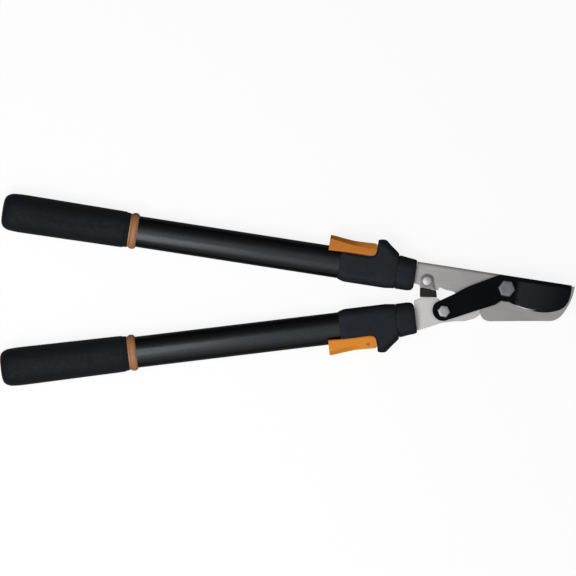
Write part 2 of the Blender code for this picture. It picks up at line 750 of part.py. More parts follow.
def build_collar(prefix, frame, side, material):
    """The moulded collar that closes the inner tube's head end round the tang."""
    outer = []
    for share, less_drop, less_rise, less_depth in (
        (0.0, 0.0042, 0.0031, 0.0058),
        (0.06, 0.0021, 0.0022, 0.0038),
        (0.20, 0.0005, 0.0016, 0.0022),
        (0.42, 0.0, 0.0012, 0.0008),
        (0.92, 0.0, 0.0, 0.0),
        (1.0, 0.0004, 0.0003, 0.0008),
    ):
        drop = COLLAR_DROP - less_drop
        rise = COLLAR_RISE - less_rise
        half_depth = (COLLAR_DEPTH - less_depth) / 2
        section = oval(-drop, rise, half_depth, COLLAR_FACE_FLAT, COLLAR_EDGE_FLAT)
        outer.append((share * COLLAR_LENGTH, section))
    mouth = tube_oval(INNER_BORE_INSET + CLEARANCE)
    seat = tube_oval(INNER_INSET - CLEARANCE)
    bore = [(0.0, mouth), (COLLAR_LIP, mouth), (COLLAR_LIP, seat), (COLLAR_LENGTH, seat)]
    return sleeve(f"{prefix}_collar", frame, material, side, outer, bore)


def build_inner_tube(prefix, frame, side, metal, plastic):
    """The sliding tube, pinned to the tang, with its guide bush at the far end."""
    outside = tube_oval(INNER_INSET)
    inside = tube_oval(INNER_BORE_INSET)
    outer = [(INNER_START, outside), (INNER_END, outside)]
    bore = [(INNER_START, inside), (INNER_END, inside)]
    tube = sleeve(f"{prefix}_inner_tube", frame, metal, side, outer, bore)
    for index in range(2):
        place = (-TANG_PIN_SET - index * TANG_PIN_SPACING, 0)
        name = f"{prefix}_tang_pin_{index + 1}"
        reach = TUBE_DEPTH
        drill(tube, f"{name}_bore", TANG_PIN_RADIUS + CLEARANCE, -reach, reach, place, frame)
        half = PIN_HALF_LENGTH - CLEARANCE
        rings = [disc(TANG_PIN_RADIUS, height, place) for height in (-half, half)]
        soften(skin(name, rings, frame, metal), 0.0004)
    end = INNER_END - CLEARANCE
    round_tube = tube_oval(INNER_INSET - CLEARANCE)
    rub = tube_oval(TUBE_WALL + CLEARANCE)
    outer = [(end - BUSH_LENGTH, rub), (end, rub)]
    bore = [(end - BUSH_LENGTH, round_tube), (end, round_tube)]
    sleeve(f"{prefix}_inner_guide", frame, plastic, side, outer, bore)


def build_outer_tube(prefix, slide, side, metal, plastic):
    """The outer tube with its window for the brake shoe, the bush in its mouth and its end plug."""
    outer = [(TUBE_MOUTH, tube_oval()), (TUBE_END, tube_oval())]
    wall = tube_oval(TUBE_WALL)
    bore = [(TUBE_MOUTH, wall), (TUBE_END, wall)]
    tube = sleeve(f"{prefix}_outer_tube", slide, metal, side, outer, bore)
    combine(tube, shoe_window(f"{prefix}_tube_window", slide, side))
    start = TUBE_MOUTH + CLEARANCE
    rub = tube_oval(INNER_INSET - CLEARANCE)
    seat = tube_oval(TUBE_WALL + CLEARANCE)
    outer = [(start, seat), (start + BUSH_LENGTH, seat)]
    bore = [(start, rub), (start + BUSH_LENGTH, rub)]
    sleeve(f"{prefix}_mouth_bush", slide, plastic, side, outer, bore)
    end = TUBE_END - CLEARANCE
    hollow = tube_oval(TUBE_WALL + BUSH_WALL + CLEARANCE)
    rings = [
        station(end, seat, side),
        station(end - PLUG_LENGTH, seat, side),
        station(end - PLUG_LENGTH, hollow, side),
        station(end - PLUG_FLOOR, hollow, side),
    ]
    skin(f"{prefix}_tube_plug", rings, slide, plastic)


def shoe_window(name, slide, side):
    """The opening for the brake shoe, on the handle's outer edge."""
    half = SHOE_LENGTH / 2 + CLEARANCE
    deep = SHOE_WIDTH / 2 + CLEARANCE
    low = (-PIN_STATION - half, TUBE_HALF / 2, -deep)
    high = (-PIN_STATION + half, TUBE_HALF + 0.0200, deep)
    return block(name, low, high, slide, side)


def lever_swing_cut(name, slide, side, front):
    """The room for one of the lever's cheeks: a round for its nose and a slot for its tail."""
    inner = front * CHEEK_HALF
    outer = front * HOUSING_DEPTH
    back, fore = min(inner, outer), max(inner, outer)
    swing = math.hypot(LEVER_NOSE, LEVER_TOP) + LEVER_ROOM
    centre = (-PIN_STATION, PIN_RISE)
    floor = PIN_RISE - LEVER_SKIRT - LEVER_BOOT - LEVER_ROOM
    outline = arc(centre, swing, -84, 90, 16)
    outline += [
        (-PIN_STATION, HUMP_RISE + 0.01),
        (-HOUSING_END - 0.01, HUMP_RISE + 0.01),
        (-HOUSING_END - 0.01, floor),
        (-PIN_STATION, floor),
    ]
    return prism(name, outline, back, fore, slide, None, side)


def build_housing(prefix, slide, side, material, steel):
    """The lock housing: a sleeve on the tube's head end with a hump, ears for the lever and a screw."""
    outer = []
    crest = HUMP_PLACE
    floor = HOUSING_FLOOR_RISE
    shoulder = HUMP_RISE - 0.0014
    for run, less_drop, rise, taper in (
        (0.0, 0.0015, floor - 0.0004, 0.30),
        (0.0012, 0.0011, floor + 0.0010, 0.10),
        (0.0060, 0.0006, floor + 0.0047, 0.0),
        (crest - 0.0075, 0.0, HUMP_RISE - 0.0046, 0.0),
        (crest - 0.0020, 0.0, HUMP_RISE - 0.0003, 0.0),
        (crest, 0.0, HUMP_RISE, 0.0),
        (HUMP_END, 0.0, shoulder, 0.0),
        (HUMP_END + 0.0003, 0.0, floor, 0.0),
        (HOUSING_LENGTH - 0.0090, 0.0, floor, 0.0),
        (HOUSING_LENGTH - 0.0012, 0.0018, floor, 0.22),
        (HOUSING_LENGTH, 0.0024, floor - 0.0006, 0.44),
    ):
        drop = HOUSING_DROP - less_drop
        half_depth = HOUSING_DEPTH / 2 - taper * HOUSING_WALL
        face_flat = HOUSING_FACE_FLAT + max(rise - floor, 0.0)
        section = oval(-drop, rise, half_depth, face_flat, HOUSING_EDGE_FLAT)
        outer.append((HOUSING_START + run, section))
    lip = tube_oval(INNER_INSET - CLEARANCE)
    seat = tube_oval(-CLEARANCE)
    step = HOUSING_START + HOUSING_LIP
    bore = [(HOUSING_START, lip), (step, lip), (step, seat), (HOUSING_END, seat)]
    name = f"{prefix}_lock_housing"
    housing = sleeve(name, slide, material, side, outer, bore)
    centre = (-PIN_STATION, PIN_RISE)
    foot = HOUSING_FLOOR_RISE - 0.0010
    ear = arc(centre, EAR_RADIUS, 0, 180, 8)
    ear += [(-PIN_STATION - EAR_RADIUS, foot), (-PIN_STATION + EAR_RADIUS, foot)]
    for label, back in (("front", EAR_INNER), ("back", -CHEEK_HALF - CLEARANCE)):
        fore = back + CHEEK_HALF + CLEARANCE - EAR_INNER
        lug = prism(f"{prefix}_{label}_ear", ear, back, fore, slide, None, side)
        combine(housing, lug, "UNION")
    for label, front in (("front", 1), ("back", -1)):
        combine(housing, lever_swing_cut(f"{prefix}_{label}_swing", slide, side, front))
    combine(housing, shoe_window(f"{prefix}_housing_window", slide, side))
    pin = (-PIN_STATION, side * PIN_RISE)
    reach = HOUSING_DEPTH
    drill(housing, f"{prefix}_ear_bore", PIN_RADIUS + CLEARANCE, -reach, reach, pin, slide)
    place = (-HOUSING_END + SCREW_SET, 0)
    sink = SCREW_HEAD_HEIGHT - HOUSING_DEPTH / 2
    bore_name = f"{prefix}_screw"
    drill(housing, f"{bore_name}_sink", SCREW_HEAD_RADIUS + CLEARANCE, -reach, sink, place, slide)
    drill(housing, f"{bore_name}_bore", SCREW_RADIUS + CLEARANCE, -reach, 0, place, slide)
    tube = bpy.data.objects[f"{prefix}_outer_tube"]
    drill(tube, f"{bore_name}_tube_bore", SCREW_RADIUS + CLEARANCE, -reach, 0, place, slide)
    seat_height = sink - CLEARANCE
    tip = -TUBE_DEPTH / 2 + TUBE_WALL
    rings = [
        disc(0.83 * SCREW_HEAD_RADIUS, seat_height - 0.70 * SCREW_HEAD_HEIGHT, place),
        disc(SCREW_HEAD_RADIUS, seat_height - 0.45 * SCREW_HEAD_HEIGHT, place),
        disc(SCREW_HEAD_RADIUS, seat_height, place),
        disc(SCREW_RADIUS, seat_height, place),
        disc(SCREW_RADIUS, tip, place),
    ]
    skin(f"{prefix}_housing_screw", rings, slide, steel)


def cam_outline():
    """The lever's cam: its lowest point rises by CAM_LIFT, evenly, while the lever swings open."""
    rate = -CAM_LIFT / LEVER_SWING
    steps = 8
    points = []
    for step in range(steps + 1):
        swing = LEVER_SWING * step / steps
        height = CAM_RADIUS - CAM_LIFT * step / steps
        x = height * math.sin(swing) + rate * math.cos(swing)
        y = -height * math.cos(swing) + rate * math.sin(swing)
        points.append((x, y))
    top = LEVER_TOP - LEVER_WEB / 2
    rise = (top - points[-1][1]) / math.sin(LEVER_SWING)
    points.append((points[-1][0] + rise * math.cos(LEVER_SWING), top))
    points.append((-CAM_RADIUS, top))
    points.append((-CAM_RADIUS, -CAM_RADIUS))
    return points


def build_lever(prefix, joint, slide, side, plastic, steel):
    """The orange flip lever: two cheeks under a web, with the cam between them, and its pin."""
    skirt = -LEVER_SKIRT
    outline = [(-LEVER_TAIL + 0.0008, skirt - LEVER_BOOT), (-LEVER_TAIL, LEVER_TAIL_TOP)]
    outline += [(-0.62 * LEVER_TAIL, LEVER_TOP + 0.0006), (-0.30 * LEVER_TAIL, LEVER_TOP - 0.0004)]
    nose = LEVER_NOSE
    outline += [(0.0, LEVER_TOP), (nose - 0.0016, LEVER_TOP + 0.0003), (nose, LEVER_TOP - 0.0013)]
    heel = skirt + 0.0002
    outline += curve((nose, -0.0040), (nose, -0.0078), (0.0062, heel), (0.0010, heel), 5)
    outline += [(0.0010, heel), (-0.50 * LEVER_TAIL, skirt + 0.0003)]
    half = LEVER_OUTER_HALF
    lever = prism(f"{prefix}_lock_lever", outline, -half, half, joint, plastic, side)
    soften(lever, 0.0009)
    sill = TUBE_HALF + 3 * CLEARANCE - PIN_RISE
    under = LEVER_TOP - LEVER_WEB
    trim = (PIN_RISE - HOUSING_FLOOR_RISE - 2 * CLEARANCE) / math.sin(LEVER_SWING)
    lean = math.cos(LEVER_SWING) / math.sin(LEVER_SWING)
    pocket = [
        (-LEVER_TAIL - 0.01, -0.03),
        (-LEVER_TAIL - 0.01, sill),
        (-LEVER_TAIL + LEVER_WALL, sill),
        (-LEVER_TAIL + LEVER_WALL, LEVER_TAIL_TOP - LEVER_WEB - 0.0003),
        (-0.62 * LEVER_TAIL, under + 0.0006),
        (-0.30 * LEVER_TAIL, under - 0.0004),
        (trim + under * lean, under),
        (trim + 0.0100 * lean, 0.0100),
        (nose + 0.01, 0.0100),
        (nose + 0.01, -0.03),
    ]
    inner = LEVER_INNER_HALF
    combine(lever, prism(f"{prefix}_lever_pocket", pocket, -inner, inner, joint, None, side))
    web = CAM_WIDTH / 2
    combine(lever, prism(f"{prefix}_cam", cam_outline(), -web, web, joint, None, side), "UNION")
    bore = PIN_RADIUS + CLEARANCE
    reach = HOUSING_DEPTH
    drill(lever, f"{prefix}_lever_bore", bore, -reach, reach, (0, 0), joint)
    place = (-PIN_STATION, side * PIN_RISE)
    end = half - CLEARANCE
    rings = [disc(PIN_RADIUS, height, place) for height in (-end, end)]
    soften(skin(f"{prefix}_lever_pin", rings, slide, steel), 0.0003)


def build_shoe(prefix, slide, side, material):
    """The brake shoe between the cam and the inner tube, hollowed to sit on the tube."""
    half = SHOE_LENGTH / 2
    deep = SHOE_WIDTH / 2
    top = PIN_RISE - CAM_RADIUS - CLEARANCE
    frame = empty(f"{prefix}_shoe_joint", slide, (-PIN_STATION, side * top, 0))
    low = (-half, -0.0070, -deep)
    shoe = block(f"{prefix}_brake_shoe", low, (half, 0.0, deep), frame, side)
    shoe.data.materials.append(material)
    tube = [
        [(x, side * (y - top), z) for y, z in tube_oval(INNER_INSET - CLEARANCE)]
        for x in (-SHOE_LENGTH, SHOE_LENGTH)
    ]
    combine(shoe, skin(f"{prefix}_shoe_hollow", tube, frame, None))


def build_grip(prefix, slide, side, rubber, orange):
    """The grip, closed at its end, and the orange ring in front of it."""
    outer = []
    for share, width, depth in (
        (0.0, GRIP_WIDTH - 0.0020, GRIP_DEPTH - 0.0020),
        (0.016, GRIP_WIDTH, GRIP_DEPTH),
        (0.84, GRIP_WIDTH, GRIP_DEPTH),
        (0.925, GRIP_WIDTH - 0.0012, GRIP_DEPTH - 0.0012),
        (0.965, GRIP_WIDTH - 0.0050, GRIP_DEPTH - 0.0046),
        (0.990, GRIP_WIDTH - 0.0120, GRIP_DEPTH - 0.0110),
        (1.0, GRIP_WIDTH - 0.0220, GRIP_DEPTH - 0.0180),
    ):
        section = oval(-width / 2, width / 2, depth / 2, TUBE_FACE_FLAT, TUBE_EDGE_FLAT)
        outer.append((GRIP_START + share * GRIP_LENGTH, section))
    seat = tube_oval(-CLEARANCE)
    rings = [station(distance, section, side) for distance, section in reversed(outer)]
    rings += [station(GRIP_START, seat, side), station(TUBE_END + CLEARANCE, seat, side)]
    skin(f"{prefix}_grip", rings, slide, rubber)
    outer = []
    half_y = RING_WIDTH / 2
    half_z = RING_DEPTH / 2
    for run, less in ((0, 0.0008), (0.001, 0), (RING_LENGTH - 0.001, 0), (RING_LENGTH, 0.0008)):
        section = oval(less - half_y, half_y - less, half_z - less, TUBE_FACE_FLAT, TUBE_EDGE_FLAT)
        outer.append((RING_START + run, section))
    bore = [(RING_START, seat), (RING_START + RING_LENGTH, seat)]
    sleeve(f"{prefix}_grip_ring", slide, orange, side, outer, bore)


def build_handle(prefix, frame, side, finishes):
    """One telescopic handle on the frame at its collar's mouth."""
    slide = empty(f"{prefix}_slide", frame)
    build_collar(prefix, frame, side, finishes["slate"])
    build_inner_tube(prefix, frame, side, finishes["inner"], finishes["bush"])
    build_outer_tube(prefix, slide, side, finishes["tube"], finishes["bush"])
    build_housing(prefix, slide, side, finishes["slate"], finishes["steel"])
    joint = empty(f"{prefix}_lever_joint", slide, (-PIN_STATION, side * PIN_RISE, 0))
    build_lever(prefix, joint, slide, side, finishes["orange"], finishes["steel"])
    build_shoe(prefix, slide, side, finishes["bush"])
    build_grip(prefix, slide, side, finishes["rubber"], finishes["orange"])


def settle(root):
    """Puts the middle of the closed tool's underside on the world's origin."""
    bpy.context.view_layer.update()
    graph = bpy.context.evaluated_depsgraph_get()
    corners = []
    for solid in bpy.data.objects:
        if solid.type == "MESH" and not solid.hide_render:
            whole = solid.evaluated_get(graph)
            mesh = whole.to_mesh()
            corners += [whole.matrix_world @ vertex.co for vertex in mesh.vertices]
            whole.to_mesh_clear()
    low = Vector(min(point[axis] for point in corners) for axis in range(3))
    high = Vector(max(point[axis] for point in corners) for axis in range(3))
    root.location = (-(low.x + high.x) / 2, -(low.y + high.y) / 2, -low.z)
    bpy.context.view_layer.update()


def main():
    for old in list(bpy.data.objects):
        bpy.data.objects.remove(old, do_unlink=True)
    finishes = {
        "plate": finish("satin_steel", (0.42, 0.41, 0.40), 0.42, 1.0),
        "steel": finish("bright_steel", (0.50, 0.52, 0.54), 0.35, 1.0),
        "coating": finish("black_coating", (0.012, 0.013, 0.016), 0.38),
        "brass": finish("brass", (0.60, 0.44, 0.20), 0.40, 1.0),
        "tube": finish("gloss_black_paint", (0.010, 0.010, 0.012), 0.28),
        "inner": finish("bare_aluminium", (0.60, 0.61, 0.62), 0.38, 1.0),
        "slate": finish("dark_moulding", (0.028, 0.034, 0.042), 0.55),
        "orange": finish("orange_moulding", (0.80, 0.27, 0.05), 0.42),
        "rubber": finish("grip_rubber", (0.012, 0.014, 0.018), 0.80),
        "bush": finish("bush_moulding", (0.20, 0.20, 0.21), 0.50),
    }
    root = empty("lopper")
    upper_arm = empty("upper_arm_frame", root, turn=-HANDLE_ANGLE)
    blade_joint = empty("blade_joint", upper_arm)
    fulcrum = empty("fulcrum_joint", upper_arm, (*FULCRUM_PLACE, 0), 2 * HANDLE_ANGLE)
    lower_place = (-FULCRUM_IN_LOWER[0], -FULCRUM_IN_LOWER[1], 0)
    lower_arm = empty("lower_arm_frame", fulcrum, lower_place)
    build_hook_plate(upper_arm, finishes["plate"])
    build_blade(blade_joint, finishes["coating"])
    build_lower_plate(lower_arm, finishes["plate"])
    build_pivot(upper_arm, finishes["steel"])
    build_drive(blade_joint, finishes["steel"], finishes["brass"])
    build_fulcrum(upper_arm, finishes["steel"])
    build_bumper(upper_arm, finishes["rubber"], finishes["steel"])
    upper_handle = empty("upper_handle_frame", upper_arm, (UPPER_COLLAR_MOUTH, 0, 0))
    lower_handle = empty("lower_handle_frame", lower_arm, (LOWER_COLLAR_MOUTH, 0, 0))
    build_handle("upper", upper_handle, 1, finishes)
    build_handle("lower", lower_handle, -1, finishes)
    settle(root)


main()
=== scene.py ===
"""Looks of the telescopic bypass lopper.

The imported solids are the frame. Each visible piece is made again with a finer surface over its
solid, rides on the same body and gets a finish made from nodes. Lengths are metres.

In a handle's own frame x counts from the collar's mouth towards the head, y points away from the
other handle and z points up to the bolt heads. Heights are counted from the middle of the handles.
"""

import json
import logging
import math
from dataclasses import dataclass, field
from enum import Enum
from typing import Iterable, Sequence

import bmesh
import bpy
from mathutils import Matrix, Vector


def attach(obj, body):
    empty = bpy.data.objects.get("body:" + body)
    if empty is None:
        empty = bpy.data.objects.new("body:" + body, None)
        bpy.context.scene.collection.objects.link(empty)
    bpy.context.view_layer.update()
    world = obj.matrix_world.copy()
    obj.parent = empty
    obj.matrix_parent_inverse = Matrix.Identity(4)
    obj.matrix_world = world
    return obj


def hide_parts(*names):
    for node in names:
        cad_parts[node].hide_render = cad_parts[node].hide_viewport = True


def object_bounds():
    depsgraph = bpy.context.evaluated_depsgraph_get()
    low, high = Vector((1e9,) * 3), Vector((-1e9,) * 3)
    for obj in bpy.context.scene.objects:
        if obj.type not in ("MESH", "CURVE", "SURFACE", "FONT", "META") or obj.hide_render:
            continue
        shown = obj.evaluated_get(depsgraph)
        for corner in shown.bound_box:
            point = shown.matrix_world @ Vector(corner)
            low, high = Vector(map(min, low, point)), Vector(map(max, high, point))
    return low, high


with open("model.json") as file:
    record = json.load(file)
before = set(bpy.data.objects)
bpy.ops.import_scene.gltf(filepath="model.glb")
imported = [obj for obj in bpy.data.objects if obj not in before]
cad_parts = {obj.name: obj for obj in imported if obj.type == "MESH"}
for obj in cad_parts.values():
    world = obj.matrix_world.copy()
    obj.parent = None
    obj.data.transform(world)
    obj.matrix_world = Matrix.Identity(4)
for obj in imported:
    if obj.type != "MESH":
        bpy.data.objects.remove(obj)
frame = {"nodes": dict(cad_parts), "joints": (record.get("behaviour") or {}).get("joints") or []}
CAD_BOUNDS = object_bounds()

LOG = logging.getLogger("lopper")

Point = tuple[float, float]
Triple = tuple[float, float, float]
Outline = list[Point]
Ring = list[Vector]
Socket = bpy.types.NodeSocket
Piece = bpy.types.Object

# The clearance between two pieces that don't press on each other.
GAP = 0.0003
# How far a helper solid reaches past what it cuts.
THROUGH = 0.03
# The angle between a handle and the row's x.
HANDLE_TURN = math.radians(7.835)


class Side(Enum):
    """The two handles, by the name that their pieces start with."""

    UPPER = "upper"
    LOWER = "lower"


class Cut(Enum):
    """What a helper solid does to the piece that it meets."""

    REMOVE = "DIFFERENCE"
    ADD = "UNION"


# Places


@dataclass(frozen=True)
class Place:
    """A flat frame in the row's coordinates.

    Args:
        origin: where x, y and z are zero.
        along: the direction of x.
        out: the direction of y.
    """

    origin: Vector
    along: Vector
    out: Vector

    def at(self, x: float, y: float, z: float = 0.0) -> Vector:
        """Returns a point of this frame in the row's coordinates."""
        return self.origin + x * self.along + y * self.out + Vector((0.0, 0.0, z))

    def moved(self, x: float, y: float) -> "Place":
        """Returns a frame with the same directions and another origin."""
        return Place(self.at(x, y), self.along, self.out)


def joint_named(name: str) -> dict:
    """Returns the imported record's joint of this name."""
    return next(joint for joint in frame["joints"] if joint["name"] == name)


def slide_direction(side: Side) -> Vector:
    """Returns the direction from the grip to the head along a handle."""
    return -Vector(joint_named(f"{side.value}_slide")["axis"]).normalized()


def out_direction(side: Side) -> Vector:
    """Returns the direction in which a handle's lever rises."""
    return Vector(joint_named(f"{side.value}_shoe_slide")["axis"]).normalized()


# Outlines


def bend(first: Point, pull: Point, second_pull: Point, last: Point, steps: int) -> Outline:
    """Points along a cubic curve.

    Args:
        first, last: the ends.
        pull, second_pull: the points that bend the curve.
        steps: how many points to give.

    Returns:
        The points without the last one.
    """
    points = []
    for step in range(steps):
        t = step / steps
        weights = ((1 - t) ** 3, 3 * (1 - t) ** 2 * t, 3 * (1 - t) * t * t, t**3)
        ends = (first, pull, second_pull, last)
        points.append(tuple(sum(w * p[k] for w, p in zip(weights, ends)) for k in range(2)))
    return points


def arc(centre: Point, radius: float, start: float, end: float, steps: int) -> Outline:
    """Points along an arc from one angle to another, in degrees, with both ends."""
    turn = [math.radians(start + (end - start) * step / steps) for step in range(steps + 1)]
    return [(centre[0] + radius * math.cos(a), centre[1] + radius * math.sin(a)) for a in turn]


def rounded(outline: Outline, radius: float, steps: int = 5) -> Outline:
    """An outline with its corners rounded.

    Args:
        outline: the corners in order.
        radius: how far from a corner the rounding starts, at most.
        steps: points in each rounding.

    Returns:
        The new outline.
    """
    points: Outline = []
    count = len(outline)
    for index, corner in enumerate(outline):
        here = Vector(corner)
        before = Vector(outline[index - 1]) - here
        after = Vector(outline[(index + 1) % count]) - here
        turn = math.pi - before.angle(after)
        if turn < math.radians(14):
            points.append(corner)
            continue
        reach = min(radius, 0.45 * before.length, 0.45 * after.length)
        start = here + reach * before.normalized()
        end = here + reach * after.normalized()
        for step in range(steps + 1):
            t = step / steps
            spot = (1 - t) ** 2 * start + 2 * (1 - t) * t * here + t * t * end
            points.append((spot.x, spot.y))
    return points


def beside(points: Sequence[Point], distance: float) -> Outline:
    """A run of points moved to its left, square to itself."""
    moved = []
    last = len(points) - 1
    for index, point in enumerate(points):
        before = points[max(index - 1, 0)]
        after = points[min(index + 1, last)]
        run = Vector((after[0] - before[0], after[1] - before[1])).normalized()
        moved.append((point[0] - distance * run.y, point[1] + distance * run.x))
    return moved


def run_weights(t: float) -> tuple[float, float, float, float]:
    """Returns what both ends and the rates at both ends count for at a share of a smooth run."""
    return 2 * t**3 - 3 * t * t + 1, 3 * t * t - 2 * t**3, t**3 - 2 * t * t + t, t**3 - t * t


def blended(knots: Sequence[tuple[float, ...]], steps: int) -> list[tuple[float, ...]]:
    """Values on a smooth run through knots, with no overshoot between two equal ones.

    Args:
        knots: rows of numbers, the first of which only grows.
        steps: rows between two knots.

    Returns:
        The rows, knots among them.
    """

    def slope(row: int, column: int) -> float:
        """The rate at a knot, zero at a turn."""
        if row in (0, len(knots) - 1):
            return 0.0
        left = (knots[row][column] - knots[row - 1][column]) / (knots[row][0] - knots[row - 1][0])
        right = (knots[row + 1][column] - knots[row][column]) / (knots[row + 1][0] - knots[row][0])
        return 0.0 if left * right <= 0 else 2 * left * right / (left + right)

    rows = []
    for row, (low, high) in enumerate(zip(knots, knots[1:])):
        span = high[0] - low[0]
        for step in range(steps):
            start, end, leave, arrive = run_weights(step / steps)
            values = [low[0] + step / steps * span]
            for column in range(1, len(low)):
                a, b = slope(row, column) * span, slope(row + 1, column) * span
                value = start * low[column] + end * high[column]
                values.append(value + leave * a + arrive * b)
            rows.append(tuple(values))
    rows.append(tuple(knots[-1]))
    return rows


def blended_run(corners: Sequence[Point], steps: int) -> Outline:
    """Points on a smooth run through an open row of corners.

    Args:
        corners: the corners in order.
        steps: points between two corners.

    Returns:
        The points, corners among them.
    """
    spots = [Vector(corner) for corner in corners]
    last = len(spots) - 1
    ways = [
        (spots[min(index + 1, last)] - spots[max(index - 1, 0)]).normalized()
        for index in range(last + 1)
    ]
    points: Outline = []
    for index in range(last):
        span = (spots[index + 1] - spots[index]).length
        for step in range(steps):
            start, end, leave, arrive = run_weights(step / steps)
            spot = start * spots[index] + end * spots[index + 1]
            spot += leave * span * ways[index] + arrive * span * ways[index + 1]
            points.append((spot.x, spot.y))
    return points + [tuple(corners[-1])]


@dataclass(frozen=True)
class Oval:
    """A section across a handle: an oval with a flat on each face and each edge.

    Args:
        low, high: its ends along y.
        half: half its depth along z.
        face_flat, edge_flat: lengths of the straight runs.
    """

    low: float
    high: float
    half: float
    face_flat: float
    edge_flat: float
    steps: int = 14

    def points(self) -> Outline:
        """Returns the section's points as (y, z)."""
        middle = (self.low + self.high) / 2
        reach = (self.high - self.low - self.face_flat) / 2
        rise = self.half - self.edge_flat / 2
        points = []
        for quarter, (across, deep) in enumerate(((1, 1), (-1, 1), (-1, -1), (1, -1))):
            for step in range(self.steps + 1):
                angle = math.pi / 2 * (quarter + step / self.steps)
                y = middle + across * self.face_flat / 2 + reach * math.cos(angle)
                points.append((y, deep * self.edge_flat / 2 + rise * math.sin(angle)))
        return points

    def inset(self, by: float) -> "Oval":
        """Returns this section drawn in evenly."""
        return Oval(
            self.low + by, self.high - by, self.half - by, self.face_flat, self.edge_flat,
            self.steps
        )


def band(width: float, depth: float, steps: int = 14) -> Oval:
    """Returns the flattened oval that tube, ring and grip have in common."""
    return Oval(-width / 2, width / 2, depth / 2, 0.0044, 0.0010, steps)


# Solids


def solid(name: str, rings: Sequence[Ring], closed: bool = False, smooth: float = 35.0) -> Piece:
    """A closed mesh over rings of points.

    Args:
        name: the object's name.
        rings: runs of as many points each.
        closed: joins the last ring to the first, and otherwise both get a cap.
        smooth: edges that turn by less than this, in degrees, are shaded smooth.

    Returns:
        The new object.
    """
    mesh = bmesh.new()
    loops = [[mesh.verts.new(point) for point in ring] for ring in rings]
    pairs = list(zip(loops, loops[1:]))
    if closed:
        pairs.append((loops[-1], loops[0]))
    for first, second in pairs:
        for index in range(len(first)):
            after = (index + 1) % len(first)
            mesh.faces.new((first[index], first[after], second[after], second[index]))
    if not closed:
        mesh.faces.new(loops[0])
        mesh.faces.new(loops[-1])
    bmesh.ops.recalc_face_normals(mesh, faces=mesh.faces)
    data = bpy.data.meshes.new(name)
    mesh.to_mesh(data)
    mesh.free()
    data.shade_smooth()
    data.set_sharp_from_angle(angle=math.radians(smooth))
    piece = bpy.data.objects.new(name, data)
    bpy.context.scene.collection.objects.link(piece)
    return piece


def plate(name: str, place: Place, outline: Outline, back: float, front: float) -> Piece:
    """An outline in the handles' plane made into a plate between two heights."""
    return solid(name, [[place.at(x, y, z) for x, y in outline] for z in (back, front)])


def turned(
    name: str, place: Place, centre: Point, profile: Sequence[Point], steps: int = 64,
    closed: bool = False
) -> Piece:
    """A round piece from a profile of (radius, height) round a vertical axis.

    Args:
        name: the object's name.
        place: the frame that the axis stands in.
        centre: the axis in that frame.
        profile: radius and height from one end to the other.
        steps: points in a round.
        closed: joins the profile's ends, for a piece with a bore.

    Returns:
        The new object.
    """
    rings = []
    for radius, height in profile:
        spots = arc(centre, radius, 0, 360 - 360 / steps, steps - 1)
        rings.append([place.at(x, y, height) for x, y in spots])
    return solid(name, rings, closed)


def sleeve(
    name: str, place: Place, outer: Sequence[tuple[float, Oval]], bore: Sequence[tuple[float, Oval]]
) -> Piece:
    """A hollow piece round a handle, from sections along its outside and its bore.

    Args:
        name: the object's name.
        place: the handle's frame.
        outer, bore: distance from the collar's mouth towards the grip, and the section there.

    Returns:
        The new object.
    """
    stations = list(outer) + list(reversed(bore))
    rings = [[place.at(-run, y, z) for y, z in section.points()] for run, section in stations]
    return solid(name, rings, closed=True)


def settled(piece: Piece) -> None:
    """Makes a piece's modifiers final."""
    bpy.context.view_layer.update()
    whole = piece.evaluated_get(bpy.context.evaluated_depsgraph_get())
    mesh = bpy.data.meshes.new_from_object(whole)
    old = piece.data
    piece.modifiers.clear()
    piece.data = mesh
    bpy.data.meshes.remove(old)
    mesh.name = piece.name


def carve(piece: Piece, helpers: Iterable[Piece], cut: Cut = Cut.REMOVE) -> None:
    """Cuts helper solids from a piece or joins them on, and deletes them."""
    helpers = list(helpers)
    for helper in helpers:
        modifier = piece.modifiers.new(helper.name, "BOOLEAN")
        modifier.operation = cut.value
        modifier.solver = "EXACT"
        modifier.object = helper
    settled(piece)
    for helper in helpers:
        bpy.data.objects.remove(helper)


def soften(
    piece: Piece, width: float, segments: int = 3, above: float = 38.0, crease: float = 42.0
) -> None:
    """Rounds a piece's edges and keeps its flats flat in the light.

    Args:
        piece: the object.
        width: the rounding's width.
        segments: faces across it.
        above: only edges that turn by more than this, in degrees.
        crease: edges that turn by more than this stay sharp in the light.
    """
    bevel = piece.modifiers.new("edges", "BEVEL")
    bevel.width = width
    bevel.segments = segments
    bevel.limit_method = "ANGLE"
    bevel.angle_limit = math.radians(above)
    bevel.use_clamp_overlap = True
    settled(piece)
    piece.data.shade_smooth()
    piece.data.set_sharp_from_angle(angle=math.radians(crease))
    weights = piece.modifiers.new("flats", "WEIGHTED_NORMAL")
    weights.keep_sharp = True
    weights.weight = 60


def post(
    name: str, place: Place, centre: Point, radius: float, low: float = -THROUGH,
    high: float = THROUGH
) -> Piece:
    """A plain round helper solid for a bore, right through unless its ends are given."""
    return turned(name, place, centre, [(radius, low), (radius, high)], steps=40)


def pin_profile(radius: float, half: float, edge: float) -> Outline:
    """Returns the profile of a pin with chamfered ends, half its length to each side."""
    return [
        (radius - edge, -half), (radius, edge - half), (radius, half - edge), (radius - edge, half)
    ]


def ring_profile(
    bore: float, radius: float, low: float, high: float, edge: float = 0.0002
) -> Outline:
    """Returns the profile of a plain ring whose outer corners are taken off."""
    return [
        (bore, high), (radius - edge, high), (radius, high - edge), (radius, low + edge),
        (radius - edge, low), (bore, low)
    ]


# Shader effects

Colour = Triple


